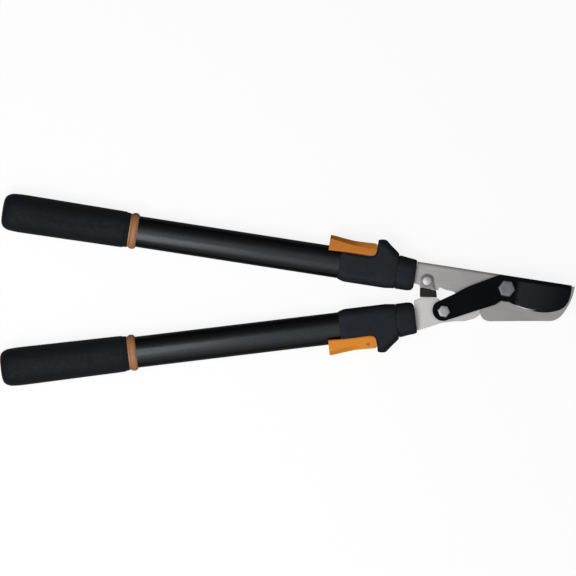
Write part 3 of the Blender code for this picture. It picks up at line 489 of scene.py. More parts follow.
class Tree:
    """Adds nodes to a node tree and joins them."""

    def __init__(self, tree: bpy.types.NodeTree) -> None:
        """Works on this node tree."""
        self.tree = tree
        self.shift = -1400.0

    def node(self, kind: str, inputs: dict | None = None, **settings) -> bpy.types.Node:
        """Adds a node.

        Args:
            kind: Blender's name for its type.
            inputs: a number, colour or socket for each input, by name or place.
            settings: the node's own properties.

        Returns:
            The new node.
        """
        new = self.tree.nodes.new(kind)
        new.location = (self.shift, 260.0 * (len(self.tree.nodes) % 4) - 400.0)
        self.shift += 90.0
        for key, value in settings.items():
            setattr(new, key, value)
        for key, value in (inputs or {}).items():
            self.put(new.inputs[key], value)
        return new

    def put(self, socket: Socket, value: object) -> None:
        """Joins a socket to an input, or sets the input's own value."""
        if isinstance(value, Socket):
            self.tree.links.new(value, socket)
        else:
            socket.default_value = value

    def sum(self, kind: str, first: object, second: object) -> Socket:
        """Returns the result of a Math node of this operation."""
        return self.node("ShaderNodeMath", {0: first, 1: second}, operation=kind).outputs[0]

    def times(self, first: object, second: object) -> Socket:
        """Returns a product."""
        return self.sum("MULTIPLY", first, second)

    def vector(self, kind: str, first: object, second: object, out: str = "Vector") -> Socket:
        """Returns an output of a Vector Math node of this operation."""
        return self.node("ShaderNodeVectorMath", {0: first, 1: second}, operation=kind).outputs[out]

    def noise(self, coords: Socket, scale: object, detail: object, rough: float = 0.5) -> Socket:
        """Returns a cloudy noise."""
        inputs = {"Vector": coords, "Scale": scale, "Detail": detail, "Roughness": rough}
        return self.node("ShaderNodeTexNoise", inputs).outputs["Fac"]

    def span(self, value: object, low: object, high: object, start: object, end: object) -> Socket:
        """Returns a value carried from one range to another and held inside it."""
        inputs = {"Value": value, "From Min": low, "From Max": high, "To Min": start, "To Max": end}
        return self.node("ShaderNodeMapRange", inputs).outputs["Result"]

    def tint(self, share: object, first: object, second: object, blend: str = "MIX") -> Socket:
        """Returns a colour between two others."""
        ends = [
            (*end, 1.0) if isinstance(end, tuple) and len(end) == 3 else end
            for end in (first, second)
        ]
        inputs = {0: share, 6: ends[0], 7: ends[1]}
        return self.node("ShaderNodeMix", inputs, data_type="RGBA", blend_type=blend).outputs[2]


class Effects:
    """The shader effects that several finishes use, each a node group that is built once.

    Each group takes the surface's coordinates in metres and puts out one mask from 0 to 1.
    """

    def __init__(self) -> None:
        """Starts with no group built."""
        self.built: dict[str, bpy.types.NodeTree] = {}

    def group(self, name: str) -> bpy.types.NodeTree:
        """Returns the group of this name, building it on first use."""
        if name not in self.built:
            tree = bpy.data.node_groups.new(name, "ShaderNodeTree")
            tree.interface.new_socket("Coords", in_out="INPUT", socket_type="NodeSocketVector")
            tree.interface.new_socket("Mask", in_out="OUTPUT", socket_type="NodeSocketFloat")
            self.built[name] = tree
            getattr(self, name)(tree)
        return self.built[name]

    @staticmethod
    def ends(tree: bpy.types.NodeTree, **numbers: float) -> tuple[Tree, dict[str, Socket]]:
        """Adds number inputs to a group.

        Args:
            tree: the group.
            numbers: name and usual value of each input.

        Returns:
            A helper that adds nodes to the group, and its inputs by name.
        """
        for name, usual in numbers.items():
            label = name.replace("_", " ")
            tree.interface.new_socket(
                label, in_out="INPUT", socket_type="NodeSocketFloat"
            ).default_value = usual
        helper = Tree(tree)
        entry = helper.node("NodeGroupInput")
        return helper, {
            socket.name.replace(" ", "_"): socket for socket in entry.outputs if socket.name
        }

    @staticmethod
    def leave(helper: Tree, mask: Socket) -> None:
        """Joins a group's mask to its output."""
        helper.node("NodeGroupOutput", {"Mask": mask})

    def mottle(self, tree: bpy.types.NodeTree) -> None:
        """Soft cloudy patches."""
        helper, given = self.ends(tree, Patch=0.02, Contrast=0.5, Detail=4.0)
        scale = helper.sum("DIVIDE", 1.0, given["Patch"])
        cloud = helper.noise(given["Coords"], scale, given["Detail"], 0.55)
        half = helper.sum("SUBTRACT", 0.30, helper.times(given["Contrast"], 0.22))
        low, high = helper.sum("SUBTRACT", 0.5, half), helper.sum("ADD", 0.5, half)
        self.leave(helper, helper.span(cloud, low, high, 0.0, 1.0))

    def lines(self, tree: bpy.types.NodeTree) -> None:
        """Fine lines that run one way, as left by rolling, drawing or grinding."""
        helper, given = self.ends(tree, Turn=0.0, Width=0.0005, Length=0.02)
        turn = helper.node("ShaderNodeCombineXYZ", {2: given["Turn"]}).outputs[0]
        across = helper.sum("DIVIDE", 1.0, given["Width"])
        down = helper.sum("DIVIDE", 1.0, given["Length"])
        stretch = helper.node("ShaderNodeCombineXYZ", {0: down, 1: across, 2: across}).outputs[0]
        inputs = {"Vector": given["Coords"], "Rotation": turn}
        turned_round = helper.node("ShaderNodeMapping", inputs).outputs[0]
        drawn = helper.vector("MULTIPLY", turned_round, stretch)
        self.leave(helper, helper.noise(drawn, 1.0, 3.0, 0.6))

    def pebble(self, tree: bpy.types.NodeTree) -> None:
        """The fine even grain of a moulded or blasted surface."""
        helper, given = self.ends(tree, Grain=0.0006)
        scale = helper.sum("DIVIDE", 1.0, given["Grain"])
        inputs = {"Vector": given["Coords"], "Scale": scale, "Smoothness": 0.6}
        cells = helper.node("ShaderNodeTexVoronoi", inputs, feature="SMOOTH_F1").outputs["Distance"]
        dust = helper.noise(given["Coords"], helper.times(scale, 2.3), 2.0)
        self.leave(helper, helper.sum("ADD", helper.times(cells, 0.65), helper.times(dust, 0.35)))

    def rub(self, tree: bpy.types.NodeTree) -> None:
        """Wear along the edges, broken up in patches."""
        helper, given = self.ends(tree, Reach=0.0006, Patch=0.004, Amount=0.5)
        near = helper.node("ShaderNodeBevel", {"Radius": given["Reach"]}, samples=4).outputs[0]
        true = helper.node("ShaderNodeNewGeometry").outputs["Normal"]
        facing = helper.vector("DOT_PRODUCT", near, true, "Value")
        edge = helper.span(facing, 0.98, 0.80, 0.0, 1.0)
        scale = helper.sum("DIVIDE", 1.0, given["Patch"])
        patch = helper.noise(given["Coords"], scale, 5.0, 0.65)
        worn = helper.span(patch, 0.42, 0.62, 0.0, 1.0)
        self.leave(helper, helper.times(helper.times(edge, worn), given["Amount"]))

    def scuffs(self, tree: bpy.types.NodeTree) -> None:
        """Sparse thin scratches in two directions, gathered in patches."""
        helper, given = self.ends(tree, Turn=0.3, Width=0.00035, Amount=0.5)
        strokes = []
        for turn in (0.0, 1.1):
            group = helper.node("ShaderNodeGroup")
            group.node_tree = EFFECTS.group("lines")
            helper.put(group.inputs["Coords"], given["Coords"])
            helper.put(group.inputs["Turn"], helper.sum("ADD", given["Turn"], turn))
            helper.put(group.inputs["Width"], given["Width"])
            group.inputs["Length"].default_value = 0.012
            strokes.append(helper.span(group.outputs["Mask"], 0.66, 0.72, 0.0, 1.0))
        patch = helper.span(helper.noise(given["Coords"], 60.0, 2.0), 0.45, 0.6, 0.0, 1.0)
        both = helper.sum("MAXIMUM", *strokes)
        self.leave(helper, helper.times(helper.times(both, patch), given["Amount"]))


EFFECTS = Effects()


# Finishes


class Surface(Tree):
    """The nodes of a material: its shader and the surface's coordinates in metres."""

    def __init__(self, made: bpy.types.Material) -> None:
        """Works on this material's nodes."""
        super().__init__(made.node_tree)
        self.shader = made.node_tree.nodes["Principled BSDF"]
        self.coords = self.node("ShaderNodeTexCoord").outputs["Object"]

    def give(self, name: str, value: object) -> None:
        """Joins a socket to an input of the shader, or sets the input's own value."""
        self.put(self.shader.inputs[name], value)

    def effect(self, name: str, **values: object) -> Socket:
        """Places one of the shared effects and returns its mask.

        Args:
            name: a method of Effects.
            values: the group's inputs.

        Returns:
            The group's output.
        """
        group = self.node("ShaderNodeGroup")
        group.node_tree = EFFECTS.group(name)
        for key, value in {"Coords": self.coords, **values}.items():
            self.put(group.inputs[key.replace("_", " ")], value)
        return group.outputs["Mask"]

    def relief(self, height: object, depth: float) -> None:
        """Feeds a mask that is this deep, in metres, to the shader's normal."""
        inputs = {"Height": height, "Distance": depth, "Strength": 1.0}
        self.give("Normal", self.node("ShaderNodeBump", inputs).outputs["Normal"])


@dataclass(frozen=True)
class Finish:
    """What every finish has: a base colour that drifts to a second one, and an uneven gloss.

    Args:
        name: the material's name.
        slot: the record's material slot that it stands for; not used.
        colour, second: the colours that the surface drifts between.
        rough: the mean roughness.
        uneven: how far the roughness strays from its mean.
        metal: 1 for bare metal.
        patch: size of the cloudy patches.
        gleam: the colour of its highlights.
    """

    name: str
    slot: str
    colour: Colour
    second: Colour
    rough: float
    uneven: float = 0.06
    metal: float = 0.0
    patch: float = 0.03
    gleam: Colour = (1.0, 1.0, 1.0)

    def material(self) -> bpy.types.Material:
        """Returns this finish's material, building it on first use."""
        if self.name in bpy.data.materials:
            return bpy.data.materials[self.name]
        made = bpy.data.materials.new(self.name)
        made.use_nodes = True
        on = Surface(made)
        on.give("Metallic", self.metal)
        on.give("Specular Tint", (*self.gleam, 1.0))
        drift = on.effect("mottle", Patch=self.patch, Contrast=0.7)
        colour = on.tint(drift, self.colour, self.second)
        fine = on.effect("mottle", Patch=self.patch / 6, Contrast=0.5)
        rough = on.span(fine, 0.0, 1.0, self.rough - self.uneven, self.rough + self.uneven)
        self.dress(on, colour, rough)
        return made

    def dress(self, on: Surface, colour: Socket, rough: Socket) -> None:
        """Joins colour and roughness to the shader. A finish adds its own marks first.

        Args:
            on: the surface.
            colour: the drifting base colour.
            rough: the uneven roughness.
        """
        on.give("Base Color", colour)
        on.give("Roughness", rough)

    def wear(self, piece: Piece) -> None:
        """Gives this finish to a new piece."""
        piece.data.materials.clear()
        piece.data.materials.append(self.material())


@dataclass(frozen=True)
class WorkedMetal(Finish):
    """Bare or plated metal with lines from rolling, turning or drawing.

    Args:
        turn: the lines' direction, in radians from the row's x.
        width: a line's width.
        length: a line's length.
        bright: the colour of its rubbed edges.
        depth: the lines' depth.
    """

    metal: float = 1.0
    turn: float = 0.0
    width: float = 0.0004
    length: float = 0.03
    bright: Colour = (0.80, 0.80, 0.80)
    depth: float = 0.00002

    def dress(self, on: Surface, colour: Socket, rough: Socket) -> None:
        """Adds the lines, scuffs and rubbed edges."""
        drawn = on.effect("lines", Turn=self.turn, Width=self.width, Length=self.length)
        shade = on.span(drawn, 0.3, 0.7, 0.88, 1.10)
        grey = on.node("ShaderNodeCombineXYZ", {0: shade, 1: shade, 2: shade}).outputs[0]
        lined = on.tint(1.0, colour, grey, "MULTIPLY")
        worn = on.effect("rub", Reach=0.0005, Patch=0.003, Amount=0.7)
        scratch = on.effect("scuffs", Turn=self.turn + 0.6, Amount=0.35)
        bare = on.tint(on.sum("MAXIMUM", worn, scratch), lined, self.bright)
        smoother = on.sum("SUBTRACT", rough, on.times(worn, 0.12))
        super().dress(on, bare, on.sum("ADD", smoother, on.times(drawn, 0.06)))
        on.relief(on.sum("ADD", drawn, on.times(scratch, -1.0)), self.depth)


@dataclass(frozen=True)
class CrownHighlightSteel(WorkedMetal):
    """Worked metal whose raised top is painted lighter above a height: a painted highlight.

    Args:
        base: the height where the lighter top begins, in the row's coordinates.
        rise: the height over which its colour comes in.
        crown_highlight: the top's colour, a painted highlight.
    """

    base: float = 0.0
    rise: float = 0.0008
    crown_highlight: Colour = (0.66, 0.65, 0.65)

    def dress(self, on: Surface, colour: Socket, rough: Socket) -> None:
        """Adds the top's painted highlight, then the lines and edges."""
        lift = on.node("ShaderNodeSeparateXYZ", {0: on.coords}).outputs["Z"]
        share = on.span(lift, self.base, self.base + self.rise, 0.0, 1.0)
        super().dress(on, on.tint(share, colour, self.crown_highlight), rough)


@dataclass(frozen=True)
class Coated(Finish):
    """Steel under a coating or paint that rubs thin along its edges.

    Args:
        bare: the colour that shows where the coat has rubbed.
        worn: how much of the edges has rubbed.
        dimple: size of the coat's fine unevenness.
        depth: that unevenness's depth.
        sheen_coat: weight of the clear layer over the colour.
        coat_rough: that layer's roughness.
        level: how strongly the surface reflects.
    """

    bare: Colour = (0.35, 0.35, 0.35)
    worn: float = 0.25
    dimple: float = 0.0012
    depth: float = 0.00002
    sheen_coat: float = 0.0
    coat_rough: float = 0.1
    level: float = 0.5

    def dress(self, on: Surface, colour: Socket, rough: Socket) -> None:
        """Adds the rubbed edges, scuffs, dimples and clear layer."""
        on.give("Specular IOR Level", self.level)
        on.give("Coat Weight", self.sheen_coat)
        on.give("Coat Roughness", self.coat_rough)
        worn = on.effect("rub", Reach=0.0004, Patch=0.0025, Amount=self.worn)
        scratch = on.effect("scuffs", Turn=0.5, Amount=0.25 * self.worn)
        marks = on.sum("MAXIMUM", worn, scratch)
        rubbed = on.tint(marks, colour, self.bare)
        super().dress(on, rubbed, on.sum("ADD", rough, on.times(scratch, 0.4)))
        peel = on.effect("pebble", Grain=self.dimple)
        on.relief(on.sum("SUBTRACT", peel, on.times(scratch, 0.5)), self.depth)


@dataclass(frozen=True)
class GroundCoat(Coated):
    """A coated blade with a lighter ground face whose brightness near the pivot, fading towards the
    tip, is a painted reflection.

    Args:
        ground: the ground face's colour next to the pivot.
        centre: the pivot, in the row's coordinates.
        along, out: the directions from the pivot to the tip and to the spine.
        boss: distances along from the pivot over which the ground face begins.
        band: how far out from the pivot the ground face reaches.
        soft: how far that limit is blurred.
        near, far: distances from the pivot between which that colour fades, as a painted
            reflection.
        honed_highlight: the colour of the sharpened strip along the edge, near-white as a painted
            highlight.
        strip_top, strip_soft: the height that the strip ends at, and how far it is blurred.
        highlight_fade: distances from the pivot over which the strip's painted highlight goes dark.
        last: how much of the ground colour is left at the far distance.
    """

    ground: Colour = (0.028, 0.029, 0.035)
    centre: Triple = (0.0, 0.0, 0.0)
    along: Triple = (1.0, 0.0, 0.0)
    out: Triple = (0.0, 1.0, 0.0)
    boss: Point = (0.0100, 0.0150)
    band: float = 0.0098
    soft: float = 0.0006
    near: float = 0.020
    far: float = 0.062
    honed_highlight: Colour = (0.90, 0.89, 0.89)
    strip_top: float = 0.0
    strip_soft: float = 0.0001
    highlight_fade: Point = (0.0287, 0.041)
    last: float = 0.15

    def dress(self, on: Surface, colour: Socket, rough: Socket) -> None:
        """Adds the ground face's colour with its painted reflection and the strip's painted
        highlight, then the coat.
        """
        beyond = on.span(self.reach(on, self.along), *self.boss, 0.0, 1.0)
        aside = self.reach(on, self.out)
        under = on.span(aside, self.band + self.soft, self.band - self.soft, 0.0, 1.0)
        away = on.vector("DISTANCE", on.coords, self.centre, "Value")
        # Painted reflection: the ground face is lighter near the pivot and fades towards the tip.
        reflection_fade = on.span(away, self.near, self.far, 1.0, self.last)
        face = on.times(beyond, under)
        share = on.times(face, reflection_fade)
        ground = on.tint(share, colour, self.ground)
        height = on.node("ShaderNodeSeparateXYZ", {0: on.coords}).outputs["Z"]
        # Painted highlight: the sharpened strip is near-white and goes dark away from the pivot.
        strip = on.span(height, self.strip_top, self.strip_top - self.strip_soft, 0.0, 1.0)
        bright = on.span(away, *self.highlight_fade, 1.0, 0.0)
        honed_highlight = on.times(face, on.times(strip, bright))
        super().dress(on, on.tint(honed_highlight, ground, self.honed_highlight), rough)

    def reach(self, on: Surface, way: Triple) -> Socket:
        """Returns how far a point lies from the pivot in one direction."""
        arm = on.vector("SUBTRACT", on.coords, self.centre)
        return on.vector("DOT_PRODUCT", arm, way, "Value")


@dataclass(frozen=True)
class Moulded(Finish):
    """A moulded plastic with a fine grain and edges polished by handling.

    Args:
        polished: the colour of its rubbed edges.
        grain: size of the moulded grain.
        depth: the grain's depth.
        level: how strongly the surface reflects.
        soak: how much light spreads under the surface.
        soak_depth: how far it spreads.
    """

    polished: Colour = (0.1, 0.1, 0.1)
    grain: float = 0.0007
    depth: float = 0.00006
    level: float = 0.5
    soak: float = 0.0
    soak_depth: float = 0.002

    def dress(self, on: Surface, colour: Socket, rough: Socket) -> None:
        """Adds the grain, the polished edges and a little dust in the grain."""
        on.give("Specular IOR Level", self.level)
        if self.soak:
            on.give("Subsurface Weight", self.soak)
            on.give("Subsurface Scale", self.soak_depth)
        grain = on.effect("pebble", Grain=self.grain)
        worn = on.effect("rub", Reach=0.0007, Patch=0.005, Amount=0.5)
        marks = on.effect("scuffs", Turn=0.2, Amount=0.22)
        dusty = on.tint(on.span(grain, 0.35, 0.15, 0.0, 0.25), colour, self.polished)
        handled = on.tint(on.sum("MAXIMUM", worn, marks), dusty, self.polished)
        gloss = on.sum("SUBTRACT", rough, on.times(worn, 0.15))
        super().dress(on, handled, on.sum("ADD", gloss, on.times(grain, 0.08)))
        on.relief(grain, self.depth)


@dataclass(frozen=True)
class SoftRubber(Finish):
    """A soft rubber skin: matte, finely pitted, with a sheen, and lighter where it is rubbed.

    Args:
        rubbed: the colour of its rubbed places.
        grain: size of the pits.
        depth: the pits' depth.
        level: how strongly the surface reflects.
        sheen, sheen_rough: weight and roughness of the soft glow at its edges.
    """

    rubbed: Colour = (0.03, 0.03, 0.03)
    grain: float = 0.0009
    depth: float = 0.0001
    level: float = 0.26
    sheen: float = 0.09
    sheen_rough: float = 0.5

    def dress(self, on: Surface, colour: Socket, rough: Socket) -> None:
        """Adds the pits, the long faint streaks and the rubbed places."""
        on.give("Specular IOR Level", self.level)
        on.give("Sheen Weight", self.sheen)
        on.give("Sheen Roughness", self.sheen_rough)
        pits = on.effect("pebble", Grain=self.grain)
        streaks = on.effect("lines", Turn=0.0, Width=0.004, Length=0.05)
        handled = on.effect("mottle", Patch=0.045, Contrast=0.8)
        share = on.times(on.span(streaks, 0.4, 0.7, 0.2, 0.8), handled)
        worn = on.effect("rub", Reach=0.0012, Patch=0.006, Amount=0.5)
        shade = on.tint(on.sum("MAXIMUM", share, worn), colour, self.rubbed)
        super().dress(on, shade, on.sum("SUBTRACT", rough, on.times(share, 0.08)))
        on.relief(on.sum("ADD", pits, on.times(streaks, 0.5)), self.depth)


TURNS = {Side.UPPER: HANDLE_TURN, Side.LOWER: -HANDLE_TURN}
PIVOT = tuple(joint_named("blade_hinge")["pos_m"])
COOL_GLEAM = (0.84, 0.94, 1.0)
PLATE_STEEL = {
    side: WorkedMetal(
        name, "satin_steel", colour, second, rough, patch=0.05,
        turn=TURNS[side], width=0.00035, length=0.05,
    )
    for side, name, colour, second, rough in (
        (Side.UPPER, "hook_plate_steel", (0.40, 0.385, 0.385), (0.46, 0.442, 0.438), 0.40),
        (Side.LOWER, "lower_plate_steel", (0.60, 0.592, 0.588), (0.67, 0.66, 0.655), 0.38),
    )
}
# The rivet's dome is painted lighter on top: a painted highlight.
RIVET_STEEL = CrownHighlightSteel(
    "rivet_steel", "bright_steel", (0.26, 0.255, 0.26), (0.32, 0.315, 0.32), 0.50, patch=0.006,
    turn=0.3, width=0.0003, length=0.003, bright=(0.55, 0.55, 0.55), base=PIVOT[2] + 0.0064,
)
PIVOT_STEEL = WorkedMetal(
    "pivot_steel", "bright_steel", (0.185, 0.196, 0.206), (0.225, 0.238, 0.248), 0.42, patch=0.008,
    turn=0.7, width=0.0003, length=0.004, bright=(0.55, 0.57, 0.57),
)
PLATED_STEEL = WorkedMetal(
    "plated_steel", "bright_steel", (0.37, 0.395, 0.405), (0.43, 0.455, 0.465), 0.34, patch=0.008,
    turn=0.7, width=0.0003, length=0.004,
)
BRASS = WorkedMetal(
    "turned_brass", "brass", (0.55, 0.40, 0.17), (0.60, 0.45, 0.21), 0.38, patch=0.008
)
ALUMINIUM = {
    side: WorkedMetal(
        f"{side.value}_drawn_aluminium", "bare_aluminium", (0.56, 0.57, 0.58), (0.62, 0.63, 0.64),
        0.32, patch=0.04, turn=turn, width=0.0003, length=0.08,
    )
    for side, turn in TURNS.items()
}
# The ground face's fade from the pivot is a painted reflection, and the sharpened strip's
# near-white colour is a painted highlight.
BLADE_COATING = GroundCoat(
    "blade_coating", "black_coating", (0.0014, 0.0023, 0.0036), (0.0024, 0.0034, 0.0050), 0.42,
    uneven=0.07, bare=(0.14, 0.14, 0.15), worn=0.22, dimple=0.0009, depth=0.00003, level=0.05,
    centre=PIVOT, along=tuple(slide_direction(Side.UPPER)), out=tuple(out_direction(Side.UPPER)),
    strip_top=PIVOT[2] + 0.00612,
)
PIN_PAINT = Coated(
    "pin_paint", "bright_steel", (0.50, 0.16, 0.025), (0.56, 0.19, 0.030), 0.45,
    bare=(0.45, 0.45, 0.46), worn=0.2, level=0.4,
)
GLOSS_PAINT = Coated(
    "gloss_paint", "gloss_black_paint", (0.0016, 0.0016, 0.0019), (0.0022, 0.0022, 0.0025), 0.30,
    uneven=0.03, gleam=COOL_GLEAM, bare=(0.06, 0.06, 0.065), worn=0.10, dimple=0.0022,
    depth=0.000006, sheen_coat=0.23, coat_rough=0.12, level=0.40,
)
SLATE_MOULDING = Moulded(
    "slate_moulding", "dark_moulding", (0.0125, 0.0145, 0.0185), (0.0170, 0.0195, 0.0240), 0.56,
    uneven=0.07, gleam=COOL_GLEAM, polished=(0.030, 0.034, 0.040), depth=0.00005, level=0.22,
)
# One plastic in two colours: the upper lever's darker colour and edge colour are painted shade, the
# lower lever's lighter ones painted light.
LIT_AND_SHADED_ORANGE_LEVER = {
    side: Moulded(
        f"{side.value}_orange_lever", "orange_moulding", colour, second, 0.44,
        gleam=(1.0, 0.82, 0.45), polished=polished, grain=0.0008, depth=0.00003, soak=0.15,
    )
    for side, colour, second, polished in (
        (Side.UPPER, (0.71, 0.220, 0.022), (0.77, 0.252, 0.028), (0.86, 0.38, 0.12)),
        (Side.LOWER, (0.96, 0.315, 0.026), (0.99, 0.345, 0.034), (0.98, 0.42, 0.12)),
    )
}
ORANGE_RING = Moulded(
    "orange_ring", "orange_moulding", (0.46, 0.205, 0.085), (0.52, 0.235, 0.100), 0.46,
    polished=(0.60, 0.32, 0.15), grain=0.0008, depth=0.00003, soak=0.15,
)
GRIP_RUBBER = SoftRubber(
    "grip_rubber_skin", "grip_rubber", (0.0028, 0.0034, 0.0044), (0.0040, 0.0046, 0.0058), 0.68,
    gleam=(0.80, 0.94, 1.0), rubbed=(0.0070, 0.0090, 0.0115),
)
BUMPER_RUBBER = SoftRubber(
    "bumper_rubber", "grip_rubber", (0.006, 0.006, 0.007), (0.010, 0.010, 0.011), 0.62,
    rubbed=(0.022, 0.022, 0.024), grain=0.0005, depth=0.00005,
)
BUSH_MOULDING = Moulded(
    "bush_plastic", "bush_moulding", (0.17, 0.17, 0.18), (0.22, 0.22, 0.23), 0.50,
    polished=(0.30, 0.30, 0.31), grain=0.0006, depth=0.00003,
)


# Sub-assemblies


@dataclass
class Assembly:
    """Pieces that are made and dressed together."""

    def keep(self, piece: Piece, body: str, finish: Finish, *nodes: str) -> Piece:
        """Dresses a piece and puts it in place of its solids.

        Args:
            piece: the new object, in place.
            body: the body that it moves with.
            finish: its surface.
            nodes: the solids that it stands for.

        Returns:
            The piece.
        """
        finish.wear(piece)
        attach(piece, body)
        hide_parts(*nodes)
        LOG.info("%s stands for %s on %s", piece.name, ", ".join(nodes), body)
        return piece

    def dress_solid(self, node: str, finish: Finish) -> None:
        """Gives a solid that stays its finish."""
        data = frame["nodes"][node].data
        if not data.materials:
            data.materials.append(None)
        for slot in frame["nodes"][node].material_slots:
            slot.material = finish.material()
        LOG.info("%s keeps its solid", node)


@dataclass
class Handle(Assembly):
    """One telescopic handle: collar, tubes, lock housing, flip lever, ring and grip."""

    side: Side
    tube_width: float = 0.0346
    tube_depth: float = 0.0250
    tube_wall: float = 0.0013
    inner_inset: float = 0.0031
    inner_wall: float = 0.0013
    inner_start: float = 0.0033
    inner_end: float = 0.4250
    tube_mouth: float = 0.0230
    tube_end: float = 0.4560
    collar_length: float = 0.0205
    collar_lip: float = 0.0030
    collar_drop: float = 0.0190
    collar_rise: float = 0.0184
    collar_half: float = 0.0145
    housing_start: float = 0.0208
    housing_length: float = 0.0640
    housing_lip: float = 0.0019
    housing_half: float = 0.0155
    housing_wall: float = 0.0027
    housing_drop: float = 0.0201
    housing_skin: float = 0.00002
    floor_rise: float = 0.0200
    hump_rise: float = 0.0331
    hump_place: float = 0.0185
    hump_end: float = 0.0250
    pin_place: float = 0.0347
    pin_rise: float = 0.0218
    pin_radius: float = 0.0015
    pin_sink: float = 0.0007
    pin_end: float = 0.0012
    ear_radius: float = 0.0030
    ear_inner: float = 0.0063
    lever_half: float = 0.0150
    lever_wall: float = 0.0024
    lever_tail: float = 0.0437
    lever_nose: float = 0.0092
    lever_top: float = 0.0051
    lever_tail_top: float = 0.0073
    lever_skirt: float = 0.0094
    lever_boot: float = 0.0005
    lever_web: float = 0.0016
    lever_room: float = 0.0020
    lever_shoulder: Point = (0.0042, 0.0064)
    lever_slant: Point = (0.0058, 0.0024)
    lever_turn: Point = (-0.0200, -0.0035)
    lever_core: float = 0.0090
    lever_hem: float = 0.0016
    lever_edge: float = 0.0006
    lever_dips: Point = (0.62, 0.30)
    lever_below: float = 0.0040
    swing: float = math.radians(65)
    cam_radius: float = 0.0046
    cam_lift: float = 0.0010
    cam_half: float = 0.0058
    shoe_half: Point = (0.0070, 0.0055)
    grip_start: float = 0.3253
    grip_length: float = 0.1382
    grip_width: float = 0.0424
    grip_depth: float = 0.0310
    ring_length: float = 0.0130
    ring_width: float = 0.0402
    ring_depth: float = 0.0296
    ring_neck: float = 0.0052
    lip_length: float = 0.0040
    tang_pin_radius: float = 0.0030
    tang_pin_edge: float = 0.0004
    tang_pin_runs: Point = (0.0120, 0.0320)
    screw_run: float = 0.0743
    screw_head: float = 0.0035
    screw_bore: float = 0.0018
    screw_radius: float = 0.0015
    screw_recess: Point = (0.0008, 0.0012)
    place: Place = field(init=False)

    def __post_init__(self) -> None:
        """Finds the frame at the collar's mouth from the lever's hinge."""
        along, out = slide_direction(self.side), out_direction(self.side)
        hinge = Vector(joint_named(f"{self.side.value}_lever_hinge")["pos_m"])
        pin = Place(hinge, along, out)
        self.place = pin.moved(self.pin_run, -self.pin_rise)

    @property
    def pin_run(self) -> float:
        """Distance from the collar's mouth to the lever's pin."""
        return self.housing_start + self.pin_place

    @property
    def arm(self) -> str:
        """The body that this handle's inner tube belongs to."""
        return f"{self.side.value}_arm"

    @property
    def handle(self) -> str:
        """The body that slides out, from the outer tube to the grip."""
        return f"{self.side.value}_handle"

    def named(self, piece: str) -> str:
        """Returns a piece's name with the side in front."""
        return f"{self.side.value}_{piece}"

    def tube(self, inset: float = 0.0, steps: int = 14) -> Oval:
        """Returns the outer tube's section, drawn in."""
        return band(self.tube_width, self.tube_depth, steps).inset(inset)

    def build(self) -> None:
        """Builds every piece of the handle."""
        self.build_collar()
        self.build_inner_tube()
        self.build_outer_tube()
        self.build_housing()
        self.build_lever()
        self.build_small_steel()
        self.build_ring()
        self.build_grip()
        for node in ("inner_guide", "mouth_bush", "tube_plug", "brake_shoe"):
            self.dress_solid(self.named(node), BUSH_MOULDING)

    def build_collar(self) -> None:
        """The moulded collar with its drawn-in mouth."""
        knots = [
            (0.0, 0.0042, 0.0031, 0.0029),
            (0.06, 0.0021, 0.0022, 0.0019),
            (0.20, 0.0005, 0.0016, 0.0011),
            (0.42, 0.0, 0.0012, 0.0004),
            (0.92, 0.0, 0.0, 0.0),
            (1.0, 0.0004, 0.0003, 0.0004),
        ]
        outer = []
        for share, drop, rise, deep in blended(knots, 4):
            low, high = drop - self.collar_drop, self.collar_rise - rise
            section = Oval(low, high, self.collar_half - deep, face_flat=0.01, edge_flat=0.006)
            outer.append((share * self.collar_length, section))
        mouth = self.tube(self.inner_inset + self.inner_wall + GAP)
        seat = self.tube(self.inner_inset - GAP)
        bore = [
            (0.0, mouth), (self.collar_lip, mouth), (self.collar_lip, seat),
            (self.collar_length, seat)
        ]
        piece = sleeve(self.named("moulded_collar"), self.place, outer, bore)
        soften(piece, 0.0004)
        self.keep(piece, self.arm, SLATE_MOULDING, self.named("collar"))

    def build_inner_tube(self) -> None:
        """The bare tube that slides out, with its two tang pins."""
        low, high = self.inner_start, self.inner_end
        outer = [(low, self.tube(self.inner_inset)), (high, self.tube(self.inner_inset))]
        inside = self.tube(self.inner_inset + self.inner_wall)
        piece = sleeve(self.named("drawn_tube"), self.place, outer, [(low, inside), (high, inside)])
        bores = []
        for index, run in enumerate(self.tang_pin_runs):
            name = self.named(f"pin_bore_{index}")
            bores.append(post(name, self.place, (-run, 0), self.tang_pin_radius + GAP))
        carve(piece, bores)
        soften(piece, 0.0002, segments=2)
        self.keep(piece, self.arm, ALUMINIUM[self.side], self.named("inner_tube"))
        half = self.tube_depth / 2 - self.inner_inset - GAP
        profile = pin_profile(self.tang_pin_radius, half, self.tang_pin_edge)
        for index, run in enumerate(self.tang_pin_runs):
            pin = turned(self.named(f"tang_rivet_{index + 1}"), self.place, (-run, 0), profile, 40)
            self.keep(pin, self.arm, ALUMINIUM[self.side], self.named(f"tang_pin_{index + 1}"))

    def window(self, name: str) -> Piece:
        """Returns the helper that opens a wall for the brake shoe."""
        along, deep = self.shoe_half[0] + GAP, self.shoe_half[1] + GAP
        low, high = self.tube_width / 4, self.tube_width / 2 + THROUGH
        corners = ((-along, low), (along, low), (along, high), (-along, high))
        outline = [(x - self.pin_run, y) for x, y in corners]
        return plate(name, self.place, outline, -deep, deep)

    def build_outer_tube(self) -> None:
        """The painted tube, with its window for the shoe and its hole for the screw."""
        lip = 0.0004
        full, less = self.tube(), self.tube(lip)
        outer = [(self.tube_mouth, less), (self.tube_mouth + lip, full), (self.tube_end, full)]
        wall = self.tube(self.tube_wall)
        piece = sleeve(
            self.named("painted_tube"), self.place, outer,
            [(self.tube_mouth, wall), (self.tube_end, wall)]
        )
        bore = post(
            self.named("screw_bore"), self.place, (-self.screw_run, 0), self.screw_bore, high=0.0
        )
        carve(piece, [self.window(self.named("tube_window")), bore])
        self.keep(piece, self.handle, GLOSS_PAINT, self.named("outer_tube"))

